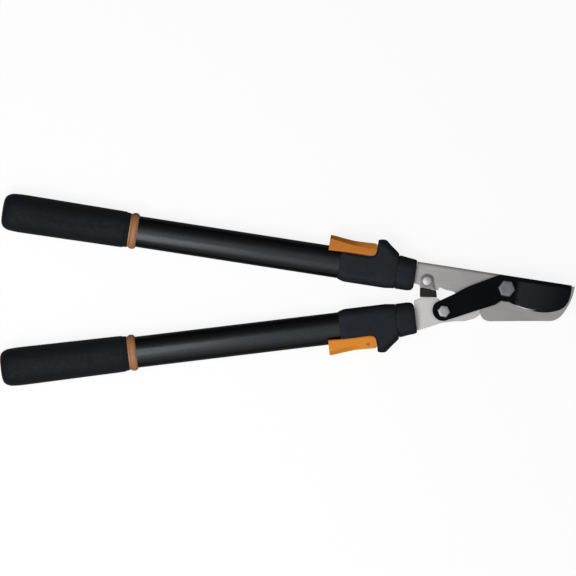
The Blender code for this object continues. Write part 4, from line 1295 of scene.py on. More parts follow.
    def build_housing(self) -> None:
        """The lock housing with its hump, its ears and the slots for the lever's cheeks."""
        floor, wall = self.floor_rise, self.housing_wall
        crest, top = self.hump_place, self.hump_rise
        knots = [
            (0.0, 0.0015, floor - 0.0004, 0.30 * wall),
            (0.0012, 0.0011, floor + 0.0010, 0.10 * wall),
            (0.0060, 0.0006, floor + 0.0047, 0.0),
            (crest - 0.0075, 0.0, top - 0.0046, 0.0),
            (crest - 0.0020, 0.0, top - 0.0003, 0.0),
            (crest, 0.0, top, 0.0),
            (self.hump_end, 0.0, top - 0.0014, 0.0),
            (self.hump_end + 0.0003, 0.0, floor, 0.0),
            (self.housing_length - 0.0090, 0.0, floor, 0.0),
            (self.housing_length - 0.0012, 0.0018, floor, 0.22 * wall),
            (self.housing_length, 0.0024, floor - 0.0006, 0.44 * wall),
        ]
        outer = []
        for run, drop, rise, deep in blended(knots, 3):
            face_flat = 0.02 + max(rise - floor, 0.0)
            half = self.housing_half - self.housing_skin - deep
            low = drop - self.housing_drop
            section = Oval(low, rise, half, face_flat, edge_flat=0.01, steps=10)
            outer.append((self.housing_start + run, section))
        lip, seat = self.tube(self.inner_inset - GAP, 10), self.tube(-GAP, 10)
        step = self.housing_start + self.housing_lip
        end = self.housing_start + self.housing_length
        bore = [(self.housing_start, lip), (step, lip), (step, seat), (end, seat)]
        piece = sleeve(self.named("moulded_housing"), self.place, outer, bore)
        pin = (-self.pin_run, self.pin_rise)
        foot = self.floor_rise - 0.0010
        ear = arc(pin, self.ear_radius, 0, 180, 20)
        ear += [(pin[0] - self.ear_radius, foot), (pin[0] + self.ear_radius, foot)]
        cheek = self.lever_half - self.lever_wall - GAP
        fore = cheek + GAP
        ears = [
            plate(self.named("front_ear"), self.place, ear, self.ear_inner, fore),
            plate(self.named("back_ear"), self.place, ear, -fore, -self.ear_inner),
        ]
        carve(piece, ears, Cut.ADD)
        cuts = [self.swing_room(self.named("front_room"), cheek, THROUGH)]
        cuts.append(self.swing_room(self.named("back_room"), -THROUGH, -cheek))
        cuts.append(self.window(self.named("housing_window")))
        cuts.append(post(self.named("ear_bore"), self.place, pin, self.pin_radius + GAP))
        sink = 0.6 * wall - self.housing_half
        screw = (-self.screw_run, 0.0)
        cuts.append(
            post(self.named("screw_sink"), self.place, screw, self.screw_head + GAP, high=sink)
        )
        cuts.append(post(self.named("screw_hole"), self.place, screw, self.screw_bore, high=0.0))
        carve(piece, cuts)
        soften(piece, 0.00035, segments=2, above=44)
        self.keep(piece, self.handle, SLATE_MOULDING, self.named("lock_housing"))

    def swing_room(self, name: str, back: float, front: float) -> Piece:
        """Returns the helper that makes room for one cheek of the lever as it swings."""
        radius = math.hypot(self.lever_nose, self.lever_top) + self.lever_room
        centre = (-self.pin_run, self.pin_rise)
        floor = self.pin_rise - self.lever_skirt - self.lever_boot - self.lever_room
        end = -self.housing_start - self.housing_length - 0.01
        top = self.hump_rise + 0.01
        outline = arc(centre, radius, -84, 90, 40)
        outline += [(centre[0], top), (end, top), (end, floor), (centre[0], floor)]
        return plate(name, self.place, outline, back, front)

    def lever_slope(self, x: float) -> Point:
        """Returns the height and the depth of the lever's slanted shoulder at x."""
        share = min(1.0, max(0.0, (x + self.lever_tail) / (self.lever_nose + self.lever_tail)))
        first, last = self.lever_shoulder
        start, end = self.lever_turn
        turn = min(1.0, max(0.0, (x - start) / (end - start)))
        deep, shallow = self.lever_slant
        drop = deep + (shallow - deep) * turn * turn * (3 - 2 * turn)
        return first + (last - first) * share, drop

    def lever_section(self, x: float, low: float, high: float) -> Outline:
        """Returns the lever's cross-section at x, (y, z), with a slanted shoulder on each side."""
        half, tall = self.lever_half, high - low
        height, drop = self.lever_slope(x)
        start = high - min(height, 0.5 * tall)
        slope = drop / (high - start)
        hem = min(self.lever_hem, 0.2 * tall)
        corners = [(low, half - hem), (low + 0.3 * hem, half - 0.3 * hem), (low + hem, half)]
        edge = self.lever_edge
        for step in (-edge, 0.0, edge):
            corners.append((start + step, half - max(step, 0.25 * edge) * slope))
        brow = half - drop
        corners += [(high - edge, brow + edge * slope), (high, brow), (high, brow - 0.0008)]
        front = blended_run(corners, 3)
        return front + [(y, -z) for y, z in reversed(front)]

    def lever_profile(self) -> list[Triple]:
        """Returns the lever's run, lowest and highest y, from its tail to its nose."""
        tail, nose = -self.lever_tail, self.lever_nose
        skirt, top = -self.lever_skirt, self.lever_top
        knots = [(tail, self.lever_tail_top), *self.lever_saddle(top), (0.0, top)]
        tops = blended(knots + [(nose - 0.0016, top + 0.0003), (nose, top - 0.0013)], 14)
        heel = (0.0010, skirt + 0.0002)
        lows = blended([(tail, skirt - self.lever_boot), (0.50 * tail, skirt + 0.0003), heel], 8)
        lows += bend(heel, (0.0062, heel[1]), (nose, -0.0078), (nose, -0.0040), 14)[1:]
        lows.append((nose, -0.0040))

        def level(rows: Sequence[Sequence[float]], x: float) -> float:
            """The height of a run at x."""
            for left, right in zip(rows, rows[1:]):
                if left[0] <= x <= right[0] and right[0] > left[0]:
                    return left[1] + (right[1] - left[1]) * (x - left[0]) / (right[0] - left[0])
            return rows[-1][1]

        edge, turn = self.lever_edge, 0.0036
        places = [tail + edge * (1 - math.cos(math.pi / 2 * k / 4)) for k in range(4)]
        places += [tail + edge + (nose - turn - edge - tail) * k / 40 for k in range(40)]
        places += [nose - turn * math.cos(math.pi / 2 * k / 12) for k in range(13)]
        rows = []
        for x in places:
            near = max(0.0, 1 - (x - tail) / edge)
            rows.append((x, level(lows, x) + edge * near**2, level(tops, x) - 0.0008 * near**2))
        return rows

    def lever_saddle(self, top: float) -> Outline:
        """Returns the two low places of the lever's top, or of a level beside it."""
        far, near = self.lever_dips
        return [(-far * self.lever_tail, top + 0.0006), (-near * self.lever_tail, top - 0.0004)]

    def build_lever(self) -> None:
        """The orange flip lever: crowned over its top, hollow below, with its cam."""
        hinge = self.place.moved(-self.pin_run, self.pin_rise)
        rings = []
        for x, low, high in self.lever_profile():
            rings.append([hinge.at(x, y, z) for y, z in self.lever_section(x, low, high)])
        piece = solid(self.named("flip_lever"), rings)
        tail, top, web, nose = self.lever_tail, self.lever_top, self.lever_web, self.lever_nose
        sill = self.tube_width / 2 + 3 * GAP - self.pin_rise
        under = top - web
        trim = (self.pin_rise - self.floor_rise - 2 * GAP) / math.sin(self.swing)
        lean = 1 / math.tan(self.swing)
        below, room, foot = self.lever_below, self.ear_radius + 1.5 * GAP, -0.0020
        past, shelf = 0.01, 0.0100
        pocket = [
            (-tail - past, -THROUGH),
            (-tail - past, sill),
            (self.lever_wall - tail, sill),
            (self.lever_wall - tail, self.lever_tail_top - below),
            *self.lever_saddle(top - below),
            (-room - 0.0006, top - below),
            (-room, room),
            (trim + room * lean, room),
            (trim + shelf * lean, shelf),
            (nose + past, shelf),
            (nose + past, -THROUGH),
        ]
        core = [
            (self.lever_wall - tail + GAP, foot),
            (self.lever_wall - tail + GAP, self.lever_tail_top - web - 0.0003),
            *self.lever_saddle(under),
            (trim + under * lean - GAP, under),
            (trim + foot * lean - GAP, foot),
        ]
        inner = self.lever_half - self.lever_wall
        hollows = [plate(self.named("lever_pocket"), hinge, pocket, -inner, inner)]
        hollows.append(
            plate(self.named("lever_core"), hinge, core, -self.lever_core, self.lever_core)
        )
        cam = plate(self.named("cam"), hinge, self.cam_outline(), -self.cam_half, self.cam_half)
        for part in (piece, cam):
            carve(part, [post(self.named("lever_bore"), hinge, (0, 0), self.pin_radius + GAP)])
        carve(piece, hollows)
        carve(piece, [cam], Cut.ADD)
        soften(piece, 0.0004, segments=2, above=44)
        self.keep(piece, self.named("lever"), LIT_AND_SHADED_ORANGE_LEVER[self.side], self.named("lock_lever"))

    def cam_outline(self) -> Outline:
        """Returns the cam's outline: its lowest point rises evenly as the lever swings."""
        rate = -self.cam_lift / self.swing
        points: Outline = []
        for step in range(25):
            turn = self.swing * step / 24
            height = self.cam_radius - self.cam_lift * step / 24
            x = height * math.sin(turn) + rate * math.cos(turn)
            points.append((x, rate * math.sin(turn) - height * math.cos(turn)))
        top = self.lever_top - self.lever_web / 2
        rise = (top - points[-1][1]) / math.sin(self.swing)
        points.append((points[-1][0] + rise * math.cos(self.swing), top))
        return points + [(-self.cam_radius, top), (-self.cam_radius, -self.cam_radius)]

    def build_small_steel(self) -> None:
        """The lever's pin and the screw in the housing's back."""
        half, radius = self.lever_half - self.pin_sink, self.pin_radius
        wide, edge = radius + 0.8 * GAP, 0.0001
        inner = half - self.pin_end
        profile = [(wide - edge, -half), (wide, edge - half), (wide, -inner), (radius, -inner)]
        profile += [(r, -z) for r, z in reversed(profile)]
        pin = turned(
            self.named("lever_axle"), self.place, (-self.pin_run, self.pin_rise), profile, 32
        )
        self.keep(pin, self.handle, PIN_PAINT, self.named("lever_pin"))
        seat = 0.6 * self.housing_wall - self.housing_half - GAP
        depth = 0.6 * self.housing_wall
        head, thread = self.screw_head, self.screw_radius
        bottom, mouth = self.screw_recess
        tip = self.tube_wall - self.tube_depth / 2
        profile = [
            (bottom, seat - 0.35 * depth),
            (mouth, seat - 0.80 * depth),
            (0.83 * head, seat - 0.78 * depth),
            (0.97 * head, seat - 0.60 * depth),
            (head, seat - 0.40 * depth),
            (head, seat),
            (thread, seat),
            (thread, tip),
        ]
        screw = turned(self.named("back_screw"), self.place, (-self.screw_run, 0.0), profile, 40)
        self.keep(screw, self.handle, PLATED_STEEL, self.named("housing_screw"))

    def build_ring(self) -> None:
        """The orange ring, crowned, with a neck under the grip's lip."""
        start, length = self.grip_start - GAP - self.ring_length, self.ring_length
        neck = length - self.ring_neck
        knots = [
            (0.0, 0.0017),
            (0.0008, 0.0010),
            (0.0024, 0.0001),
            (0.0034, 0.0),
            (neck - 0.0026, 0.0),
            (neck - 0.0014, 0.0003),
            (neck - 0.0004, 0.0011),
            (neck, 0.0015),
            (length, 0.0015),
        ]
        outer = []
        for run, less in blended(knots, 4):
            outer.append((start + run, band(self.ring_width, self.ring_depth).inset(less)))
        seat = self.tube(-GAP)
        piece = sleeve(
            self.named("orange_ring"), self.place, outer, [(start, seat), (start + length, seat)]
        )
        self.keep(piece, self.handle, ORANGE_RING, self.named("grip_ring"))

    def grip_section(self, narrow: float, thin: float) -> Oval:
        """Returns the grip's section where it is this much less wide and less deep."""
        return band(self.grip_width - narrow, self.grip_depth - thin, 18)

    def build_grip(self) -> None:
        """The soft grip, a little fuller towards its closed end."""
        knots = [
            (0.0, 0.0036, 0.0024),
            (0.006, 0.0029, 0.0019),
            (0.016, 0.0022, 0.0014),
            (0.30, 0.0014, 0.0008),
            (0.62, 0.0005, 0.0002),
            (0.84, 0.0, 0.0),
            (0.925, 0.0012, 0.0012),
            (0.965, 0.0050, 0.0046),
            (0.985, 0.0098, 0.0090),
            (0.996, 0.0168, 0.0140),
            (1.0, 0.0240, 0.0196),
        ]
        start = self.grip_start
        # The grip's dark lip runs over the ring's neck, and it also stands in for painted shade in
        # the gap between ring and grip.
        lip = start - self.lip_length
        outer = [
            (lip, self.grip_section(0.0052, 0.0036)),
            (lip + 0.0005, self.grip_section(0.0044, 0.0028))
        ]
        for share, narrow, thin in blended(knots, 6):
            outer.append((start + share * self.grip_length, self.grip_section(narrow, thin)))
        neck = band(self.ring_width, self.ring_depth, 18).inset(0.0015)
        collar, seat = neck.inset(-0.0002), self.tube(-GAP, 18)
        bore = [(lip, collar), (start, collar), (start, seat), (self.tube_end + GAP, seat)]
        stations = list(reversed(outer)) + bore
        rings = [
            [self.place.at(-run, y, z) for y, z in section.points()] for run, section in stations
        ]
        piece = solid(self.named("soft_grip"), rings, smooth=50)
        self.keep(piece, self.handle, GRIP_RUBBER, self.named("grip"))


# A bolt head's shape from its foot up, as shares of its radius and of its height.
BOLT_CROWN = (
    (1.0, 0.05), (1.0, 0.60), (0.985, 0.68), (0.88, 0.93), (0.86, 0.96), (0.82, 0.975),
    (0.40, 0.990)
)
# The rivet's pad from its foot up: its size as a share, and the height.
PAD_EDGE = ((0.97, 0.0), (1.0, 0.0002), (1.0, 0.0007), (0.985, 0.0010))


@dataclass
class Head(Assembly):
    """The cutting head: hook plate, blade and arm, lower plate, bolts, pins and bumper."""

    upper: Handle
    lower: Handle
    handle_turn: float = HANDLE_TURN
    lower_offset: float = 0.0210
    upper_mouth: float = -0.1024
    lower_mouth: float = -0.1042
    thick: float = 0.0045
    edge_thick: float = 0.0006
    spine_band: float = 0.0042
    spine: float = 0.0145
    blade_reach: float = 0.0715
    belly: float = 0.0209
    hook_rim: float = 0.0032
    hook_depth: float = 0.0382
    slant: float = 0.0030
    slant_drop: float = 0.0009
    strip_share: float = 0.055
    strip_height: float = 0.10
    overlap: float = 0.0038
    boss: float = 0.0146
    edge_start: float = -75.0
    tang_length: float = 0.0460
    tang_half: float = 0.0100
    tang_shoulder: float = GAP
    arm_reach: float = 0.0741
    arm_angle: float = math.radians(28.7)
    arm_end: float = 0.0118
    arm_inner: float = 0.0165
    arm_outer: float = 0.0117
    blade_swing: float = math.radians(28.5)
    land: float = 0.0105
    pivot: Triple = (0.0050, 0.0103, 0.0042)
    drive: Triple = (0.0032, 0.0075, 0.0036)
    fulcrum: Triple = (0.0040, 0.0065, 0.0016)
    spacer_wall: float = 0.0030
    washer_thick: float = 0.0012
    washer_land: float = 0.0035
    nut_wall: float = 0.0037
    nut_height: float = 0.0042
    thread_stand: float = 0.0009
    bumper_length: float = 0.0203
    bumper_place: float = -0.0848
    bumper_depth: float = 0.0100
    bumper_lower: float = 0.0238
    bumper_stand: float = 0.0016
    tongue_half: float = 0.0060
    rivet: Triple = (0.0025, 0.0060, 0.0016)
    rivet_place: Point = (-0.0883, -0.0048)
    pad_half: float = 0.0076
    pad_thick: float = 0.0011
    pad_lean: float = 0.26
    pad_spread: float = 0.10
    place: Place = field(init=False)
    lower_place: Place = field(init=False)

    def __post_init__(self) -> None:
        """Finds the frames of both arms."""
        pivot = Vector(joint_named("blade_hinge")["pos_m"])
        self.place = Place(pivot, self.upper.place.along, self.upper.place.out)
        foot = self.lower.place
        self.lower_place = Place(foot.at(-self.lower_mouth, 0.0), foot.along, -foot.out)

    @property
    def hook_top(self) -> float:
        """Height of the hook plate's front face."""
        return self.thick + GAP / 2

    @property
    def blade_back(self) -> float:
        """Height of the blade's back face."""
        return self.hook_top + GAP

    @property
    def blade_front(self) -> float:
        """Height of the blade's front face."""
        return self.blade_back + self.thick

    @property
    def lower_back(self) -> float:
        """Height that lies against the lower plate's back face."""
        return -self.thick - 1.5 * GAP

    @property
    def hook_reach(self) -> float:
        """Main pivot to the hook's far side."""
        return self.blade_reach + self.hook_rim

    def arm_point(self, along: float, across: float) -> Point:
        """Returns a point of the blade's arm, along it and across to its upper side."""
        cosine, sine = math.cos(self.arm_angle), math.sin(self.arm_angle)
        return (-along * cosine - across * sine, -along * sine + across * cosine)

    def to_lower(self, point: Point) -> Point:
        """Returns a point of the upper arm's frame as the lower arm's frame gives it."""
        turn = 2 * self.handle_turn
        x = point[0] * math.cos(turn) + point[1] * math.sin(turn)
        y = -point[0] * math.sin(turn) + point[1] * math.cos(turn)
        return (x, y + self.lower_offset)

    @property
    def drive_place(self) -> Point:
        """The drive bolt's axis."""
        return self.arm_point(self.arm_reach, 0)

    @property
    def fulcrum_place(self) -> Point:
        """The fulcrum's axis."""
        return self.arm_point(self.arm_reach / 2, 0)

    def build(self) -> None:
        """Builds every piece of the head."""
        self.build_lower_plate()
        self.build_hook_plate()
        self.build_blade()
        self.build_bumper()
        self.build_pivot()
        self.build_drive()
        self.build_fulcrum()

    def cutting_edge(self, steps: int = 36) -> Outline:
        """Returns the blade's edge, from where it leaves the boss round the belly to the tip."""
        reach, belly = self.blade_reach, self.belly
        start = arc((0, 0), self.boss, self.edge_start, self.edge_start, 1)[0]
        shoulder = (0.85 * reach, -0.715 * belly)
        points = bend(
            start, (0.31 * reach, -0.98 * belly), (0.62 * reach, -1.15 * belly), shoulder, steps
        )
        last = (reach, 0.60 * self.spine)
        points += bend(
            shoulder, (0.945 * reach, -0.54 * belly), (reach, -0.28 * belly), last, steps
        )
        return points + [last]

    def build_blade(self) -> None:
        """The coated blade: full thickness at arm, boss and spine, ground to its edge."""
        reach, spine = self.blade_reach, self.spine
        centre = self.arm_point(self.arm_reach + 0.0003, self.arm_inner - self.arm_end - 0.0034)
        facing = 180 + math.degrees(self.arm_angle)
        top = [(reach - 0.0004, spine), (0.40 * reach, spine)]
        arm = [
            (-0.0090, spine),
            self.arm_point(0.0060, self.arm_inner + 0.0004),
            self.arm_point(0.0250, self.arm_inner + 0.0003),
            self.arm_point(0.54 * self.arm_reach, self.arm_inner),
            self.arm_point(0.76 * self.arm_reach, self.arm_inner - 0.0021),
        ]
        arm = arm[:1] + rounded(arm, 0.006, 7)[1:]
        arm += arc(centre, self.arm_end, facing - 68, facing + 84, 40)
        arm.append(self.arm_point(0.50 * self.arm_reach, -self.arm_outer))
        arm.append(self.arm_point(0.0180, -self.arm_outer - 0.0009))
        boss = arc((0, 0), self.boss, -104, -82, 8)
        edge = self.cutting_edge()
        ridge = self.grind_line(len(edge))
        fixed = top + arm + boss
        rings = [[self.place.at(x, y, self.blade_back) for x, y in fixed + edge]]
        for share in (0.0, self.strip_share, 0.2, 0.4, 0.6, 0.8, 1.0):
            lift = self.edge_thick + (self.thick - self.edge_thick) * self.grind_height(share)
            ring = [self.place.at(x, y, self.blade_back + lift) for x, y in fixed]
            for near, far in zip(edge, ridge):
                x, y = (a + share * (b - a) for a, b in zip(near, far))
                ring.append(self.place.at(x, y, self.blade_back + lift))
            rings.append(ring)
        piece = solid("coated_blade", rings)
        bores = [post("pivot_bore", self.place, (0, 0), self.pivot[0] + GAP)]
        bores.append(post("drive_bore", self.place, self.drive_place, self.drive[0] + GAP))
        carve(piece, bores)
        soften(piece, 0.00035, above=50, crease=11)
        self.keep(piece, "blade_and_arm", BLADE_COATING, "blade")

    def grind_line(self, count: int) -> Outline:
        """Returns where the ground face ends: round the boss, then along the spine's band."""
        last = math.asin((self.spine - self.spine_band) / self.boss)
        first = math.radians(self.edge_start)
        start = self.boss * math.cos(last)
        points = []
        for index in range(count):
            share = index / (count - 1)
            if share < 0.4:
                angle = first + (last - first) * share / 0.4
                points.append((self.boss * math.cos(angle), self.boss * math.sin(angle)))
            else:
                reach = (self.blade_reach - 0.0030 - start) * (share - 0.4) / 0.6
                points.append((start + reach, self.spine - self.spine_band))
        return points

    def grind_height(self, share: float) -> float:
        """Returns how much of the thickness is left at a share of the way from edge to ridge."""
        strip, height = self.strip_share, self.strip_height
        if share <= strip:
            return height * share / strip
        inner = (share - strip) / (1 - strip)
        return height + (1 - height) * (0.90 * inner + 0.10 * inner**2)

    def tang(self, mouth: float) -> Outline:
        """Returns the tongue that goes into an inner tube, from its upper to its lower corner."""
        half = self.tang_half
        shoulder = mouth + self.tang_shoulder
        end, corner = mouth - self.tang_length, 0.002
        side = [(shoulder, half), (end + corner, half), (end, half - corner)]
        return side + [(x, -y) for x, y in reversed(side)]

    def tang_bores(self, place: Place, mouth: float) -> list[Piece]:
        """Returns the helpers for the pin bores in a tang."""
        radius = self.upper.tang_pin_radius + GAP
        return [
            post(f"tang_bore_{index}", place, (mouth - run, 0), radius)
            for index, run in enumerate(self.upper.tang_pin_runs)
        ]

    def build_hook_plate(self) -> None:
        """The upper arm's plate: tang, bumper lug, lands and the crescent hook."""
        edge = beside(self.cutting_edge(), self.overlap)
        inner = [point for point in edge if point[0] > 0.24 * self.blade_reach]
        half = self.bumper_length / 2
        lug = self.bumper_depth - self.bumper_lower + GAP
        low, high = (self.bumper_place - half, lug), (self.bumper_place + half, lug)
        reach, depth, spine = self.hook_reach, self.hook_depth, self.spine
        rim = (reach - 0.0008, 0.25 * spine)
        corner = (0.892 * reach, -0.455 * depth)
        belly = (0.70 * reach, -0.745 * depth)
        waist, heel = (-0.0245, -0.0315), (-0.0100, -depth)
        shoulder = self.upper_mouth + self.tang_shoulder
        back = [
            (low[0] - 0.0010, -0.0108),
            low,
            high,
            (high[0] + 0.0006, -0.0098),
            (high[0] + 0.0090, -0.0118),
            (high[0] + 0.0180, -0.0122),
            self.arm_point(0.66 * self.arm_reach, -0.0035),
            self.arm_point(self.arm_reach / 2, -self.land),
        ]
        outline = self.tang(self.upper_mouth) + [(shoulder + 0.0015, -0.0100)] + back[:3]
        # The run's two ends are corners that stay sharp, so their roundings are cut off.
        outline += rounded([high] + back[3:] + [waist], 0.0025, 5)[6:-1]
        outline += bend(waist, (-0.0225, -0.0370), (-0.0180, -0.0400), heel, 16)
        outline += bend(heel, (0.0150, -0.90 * depth), (0.48 * reach, -0.80 * depth), belly, 24)
        outline += bend(
            belly, (0.79 * reach, -0.715 * depth), (0.852 * reach, -0.61 * depth), corner, 16
        )
        outline += bend(
            corner, (0.932 * reach, -0.30 * depth), (0.975 * reach, -0.10 * depth), rim, 16
        )
        outline += [rim, (reach, 0.80 * spine), (reach - 0.0004, 0.96 * spine)]
        outline.append((inner[-1][0] + 0.0010, 0.85 * spine))
        outline += reversed(inner)
        outline += [(0.0152, -0.0060), (0.0150, 0.0060), (0.0120, 0.0120), (0.0060, spine)]
        outline += [(-0.0300, spine), (shoulder, spine)]
        top = self.hook_top
        levels = [(top - self.thick, 0.0), (top - self.slant_drop, 0.0), (top, self.slant)]
        rings = []
        for height, inset in levels:
            # Only the points on the spine are drawn in.
            level = [(x, min(y, spine - inset) if y > spine - 1e-6 else y) for x, y in outline]
            rings.append([self.place.at(x, y, height) for x, y in level])
        piece = solid("steel_hook_plate", rings)
        cuts = self.tang_bores(self.place, self.upper_mouth)
        cuts.append(post("pivot_bore", self.place, (0, 0), self.pivot[0] + GAP))
        place = self.fulcrum_place
        cuts.append(post("fulcrum_bore", self.place, place, self.fulcrum[0] + GAP))
        floor = top - self.fulcrum[2] - 2 * GAP
        cuts.append(post("fulcrum_sink", self.place, place, self.fulcrum[1] + GAP, low=floor))
        cuts.append(post("rivet_bore", self.place, self.rivet_place, self.rivet[0] + GAP))
        carve(piece, cuts)
        soften(piece, 0.00035)
        self.keep(piece, "upper_arm", PLATE_STEEL[Side.UPPER], "hook_plate")

    def slot_outline(self) -> Outline:
        """Returns the cam slot: on this curve the blade turns half the lower arm's angle."""
        fulcrum = Vector(self.to_lower(self.fulcrum_place))
        along = (Vector(self.to_lower(self.drive_place)) - fulcrum).normalized()
        across = Vector((-along.y, along.x))
        steps = 20
        path = []
        for step in range(steps + 1):
            swing = self.blade_swing * math.sqrt(step / steps)
            out = math.cos(swing) - math.cos(swing) ** 2 + 0.5
            aside = -math.sin(swing) * (1 - math.cos(swing))
            path.append(tuple(fulcrum + self.arm_reach * (out * along + aside * across)))
        width = self.drive[0] + 2 * GAP
        left, right = beside(path, width), beside(path, -width)
        first = (Vector(path[1]) - Vector(path[0])).normalized()
        last = (Vector(path[-1]) - Vector(path[-2])).normalized()
        far = math.degrees(math.atan2(last.y, last.x))
        near = math.degrees(math.atan2(first.y, first.x))
        outline = right[:-1] + arc(path[-1], width, far - 90, far + 90, 20)
        outline += list(reversed(left))[1:-1]
        # This arc ends short of the outline's first point.
        return outline + arc(path[0], width, near + 90, near + 260, 20)

    def bumper_face(self, x: float) -> float:
        """Returns the bumper's lower face at a place along the upper handle."""
        return (x - self.bumper_place) * math.tan(self.handle_turn) - self.bumper_lower + 0.0010

    def build_lower_plate(self) -> None:
        """The lower arm's plate: tang, shoulder under the bumper, cam slot and fulcrum eye."""
        fulcrum, drive = self.to_lower(self.fulcrum_place), self.to_lower(self.drive_place)
        half = self.bumper_length / 2
        spots = [self.bumper_place - 0.58 * half, self.bumper_place + half]
        corner, shoulder = (self.to_lower((x, self.bumper_face(x) - GAP)) for x in spots)
        start = self.lower_mouth + self.tang_shoulder
        under = [
            (start, -0.0132),
            (start + 0.0030, -0.0128),
            (drive[0] - 0.0160, drive[1] - 0.0148),
            (drive[0] - 0.0030, drive[1] - 0.0123),
            (drive[0] + 0.0118, drive[1] - 0.0124),
            (drive[0] + 0.0220, drive[1] - 0.0136),
            (fulcrum[0] - 0.0020, fulcrum[1] - 0.0202),
            (fulcrum[0] + 0.0040, fulcrum[1] - 0.0163),
        ]
        over = [
            (fulcrum[0] - 0.0140, fulcrum[1] + 0.0065),
            (drive[0] + 0.0105, drive[1] + 0.0082),
            (drive[0] + 0.0010, drive[1] + 0.0094),
            shoulder,
            corner,
            (start + 0.0008, corner[1] - 0.0024),
        ]
        outline = self.tang(self.lower_mouth) + under[:1]
        # The roundings of the run's two ends are cut off here too.
        outline += rounded(under, 0.004, 5)[6:-6] + under[-1:]
        outline += arc(fulcrum, self.land, -20, 112, 30) + over
        back = -GAP / 2 - self.thick
        piece = plate("steel_lower_plate", self.lower_place, outline, back, back + self.thick)
        cuts = self.tang_bores(self.lower_place, self.lower_mouth)
        cuts.append(post("fulcrum_eye", self.lower_place, fulcrum, self.fulcrum[0] + GAP))
        cuts.append(plate("cam_slot", self.lower_place, self.slot_outline(), -THROUGH, THROUGH))
        carve(piece, cuts)
        soften(piece, 0.00035)
        self.keep(piece, "lower_arm", PLATE_STEEL[Side.LOWER], "lower_plate")

    def build_bumper(self) -> None:
        """The rubber stop between the arms and its domed rivet."""
        start = self.bumper_place - self.bumper_length / 2
        end = start + self.bumper_length
        top = self.bumper_depth - self.bumper_lower
        lowest = -self.thick - GAP / 2
        low = start + 0.0015
        outline = [
            (start, top), (low, self.bumper_face(low)), (end, self.bumper_face(end)),
            (end - 0.0022, top)
        ]
        outline = rounded(outline, 0.0010, 6)
        piece = plate(
            "rubber_bumper", self.place, outline, lowest, self.hook_top + self.bumper_stand
        )
        half = self.tongue_half
        x, y = self.rivet_place
        tongue = [
            (x - half, top - 0.0020), (x + half, top - 0.0020), (x + half, y + half),
            (x - half, y + half)
        ]
        carve(piece, [plate("tongue", self.place, tongue, lowest, GAP / 2 - GAP)], Cut.ADD)
        shaft, head, rise = self.rivet
        carve(piece, [post("bumper_bore", self.place, self.rivet_place, shaft + GAP)])
        soften(piece, 0.0007, segments=4)
        self.keep(piece, "upper_arm", BUMPER_RUBBER, "bumper")
        seat = self.hook_top + GAP
        tail = lowest - GAP
        low = top + GAP
        profile = [
            (1.5 * shaft, tail - 0.0012), (1.75 * shaft, tail - 0.0009),
            (1.8 * shaft, tail - 0.0005)
        ]
        profile += [(1.8 * shaft, tail), (shaft, tail), (shaft, seat)]
        rings = [self.disc(radius, height, self.rivet_place) for radius, height in profile]
        for share, lift in (*PAD_EDGE, (0.95, self.pad_thick)):
            rings.append(self.pad(low, seat + lift, share))
        for step in range(12):
            lift = math.radians(86 * step / 11)
            height = seat + self.pad_thick + rise * math.sin(lift)
            rings.append(self.disc(head * math.cos(lift), height, self.rivet_place))
        self.keep(solid("domed_rivet", rings), "upper_arm", RIVET_STEEL, "bumper_rivet")

    def pad(self, low: float, height: float, share: float, steps: int = 72) -> Ring:
        """The outline of the rivet's pad: round above, with straight leaning sides.

        Args:
            low: where its lower edge lies along y.
            height: its place along z.
            share: its size next to the whole pad.
            steps: points in the ring.

        Returns:
            The ring.
        """
        x, y = self.rivet_place
        half, depth = share * self.pad_half, share * (y - low)
        ring = []
        for index in range(steps):
            angle = 2 * math.pi * index / steps
            across, rise = math.cos(angle), math.sin(angle)
            if rise < 0.0:
                square = 1 / max(abs(across), -rise)
                across *= square
                rise *= square
                lean = (self.pad_lean + self.pad_spread * across) * depth * rise
                ring.append(self.place.at(x + half * across - lean, y + depth * rise, height))
            else:
                ring.append(self.place.at(x + half * across, y + half * rise, height))
        return ring

    def hexagon(self, radius: float, height: float, centre: Point, steps: int = 72) -> Ring:
        """Returns a hexagon with its corners at this radius, as a ring of many points."""
        ring = []
        for index in range(steps):
            angle = 2 * math.pi * index / steps
            away = abs((angle % (math.pi / 3)) - math.pi / 6)
            reach = radius * math.cos(math.pi / 6) / math.cos(away)
            x, y = centre[0] + reach * math.cos(angle), centre[1] + reach * math.sin(angle)
            ring.append(self.place.at(x, y, height))
        return ring

    def disc(self, radius: float, height: float, centre: Point, steps: int = 72) -> Ring:
        """Returns a circle of points."""
        spots = arc(centre, radius, 0, 360 - 360 / steps, steps - 1)
        return [self.place.at(x, y, height) for x, y in spots]

    def behind_washer(self, face: float) -> float:
        """Returns the height behind a washer that lies on a back face."""
        return face - self.washer_thick - GAP

    def bolt(self, name: str, size: Triple, face: float, centre: Point) -> Piece:
        """A bolt with a low domed hexagon head on the blade.

        Args:
            name: the object's name.
            size: shaft radius, head radius to its corners and head height.
            face: height of the back face that its washer lies on.
            centre: the axis.

        Returns:
            The new object.
        """
        shaft, head, rise = size
        seat = self.blade_front + GAP
        end = self.behind_washer(face) - self.nut_height - self.thread_stand
        rings = [self.disc(shaft - 0.0006, end, centre), self.disc(shaft, end + 0.0006, centre)]
        rings += [self.disc(shaft, seat, centre), self.hexagon(head - 0.0002, seat, centre)]
        for size_share, lift in BOLT_CROWN:
            rings.append(self.hexagon(size_share * head, seat + lift * rise, centre))
        rings.append(self.disc(0.10 * head, seat + rise - 0.0001, centre))
        return solid(name, rings, smooth=24)

    def washer(self, name: str, bore: float, face: float, centre: Point) -> Piece:
        """A plain washer on a back face."""
        profile = ring_profile(bore, bore + self.washer_land, face - self.washer_thick, face)
        return turned(name, self.place, centre, profile, 72, True)

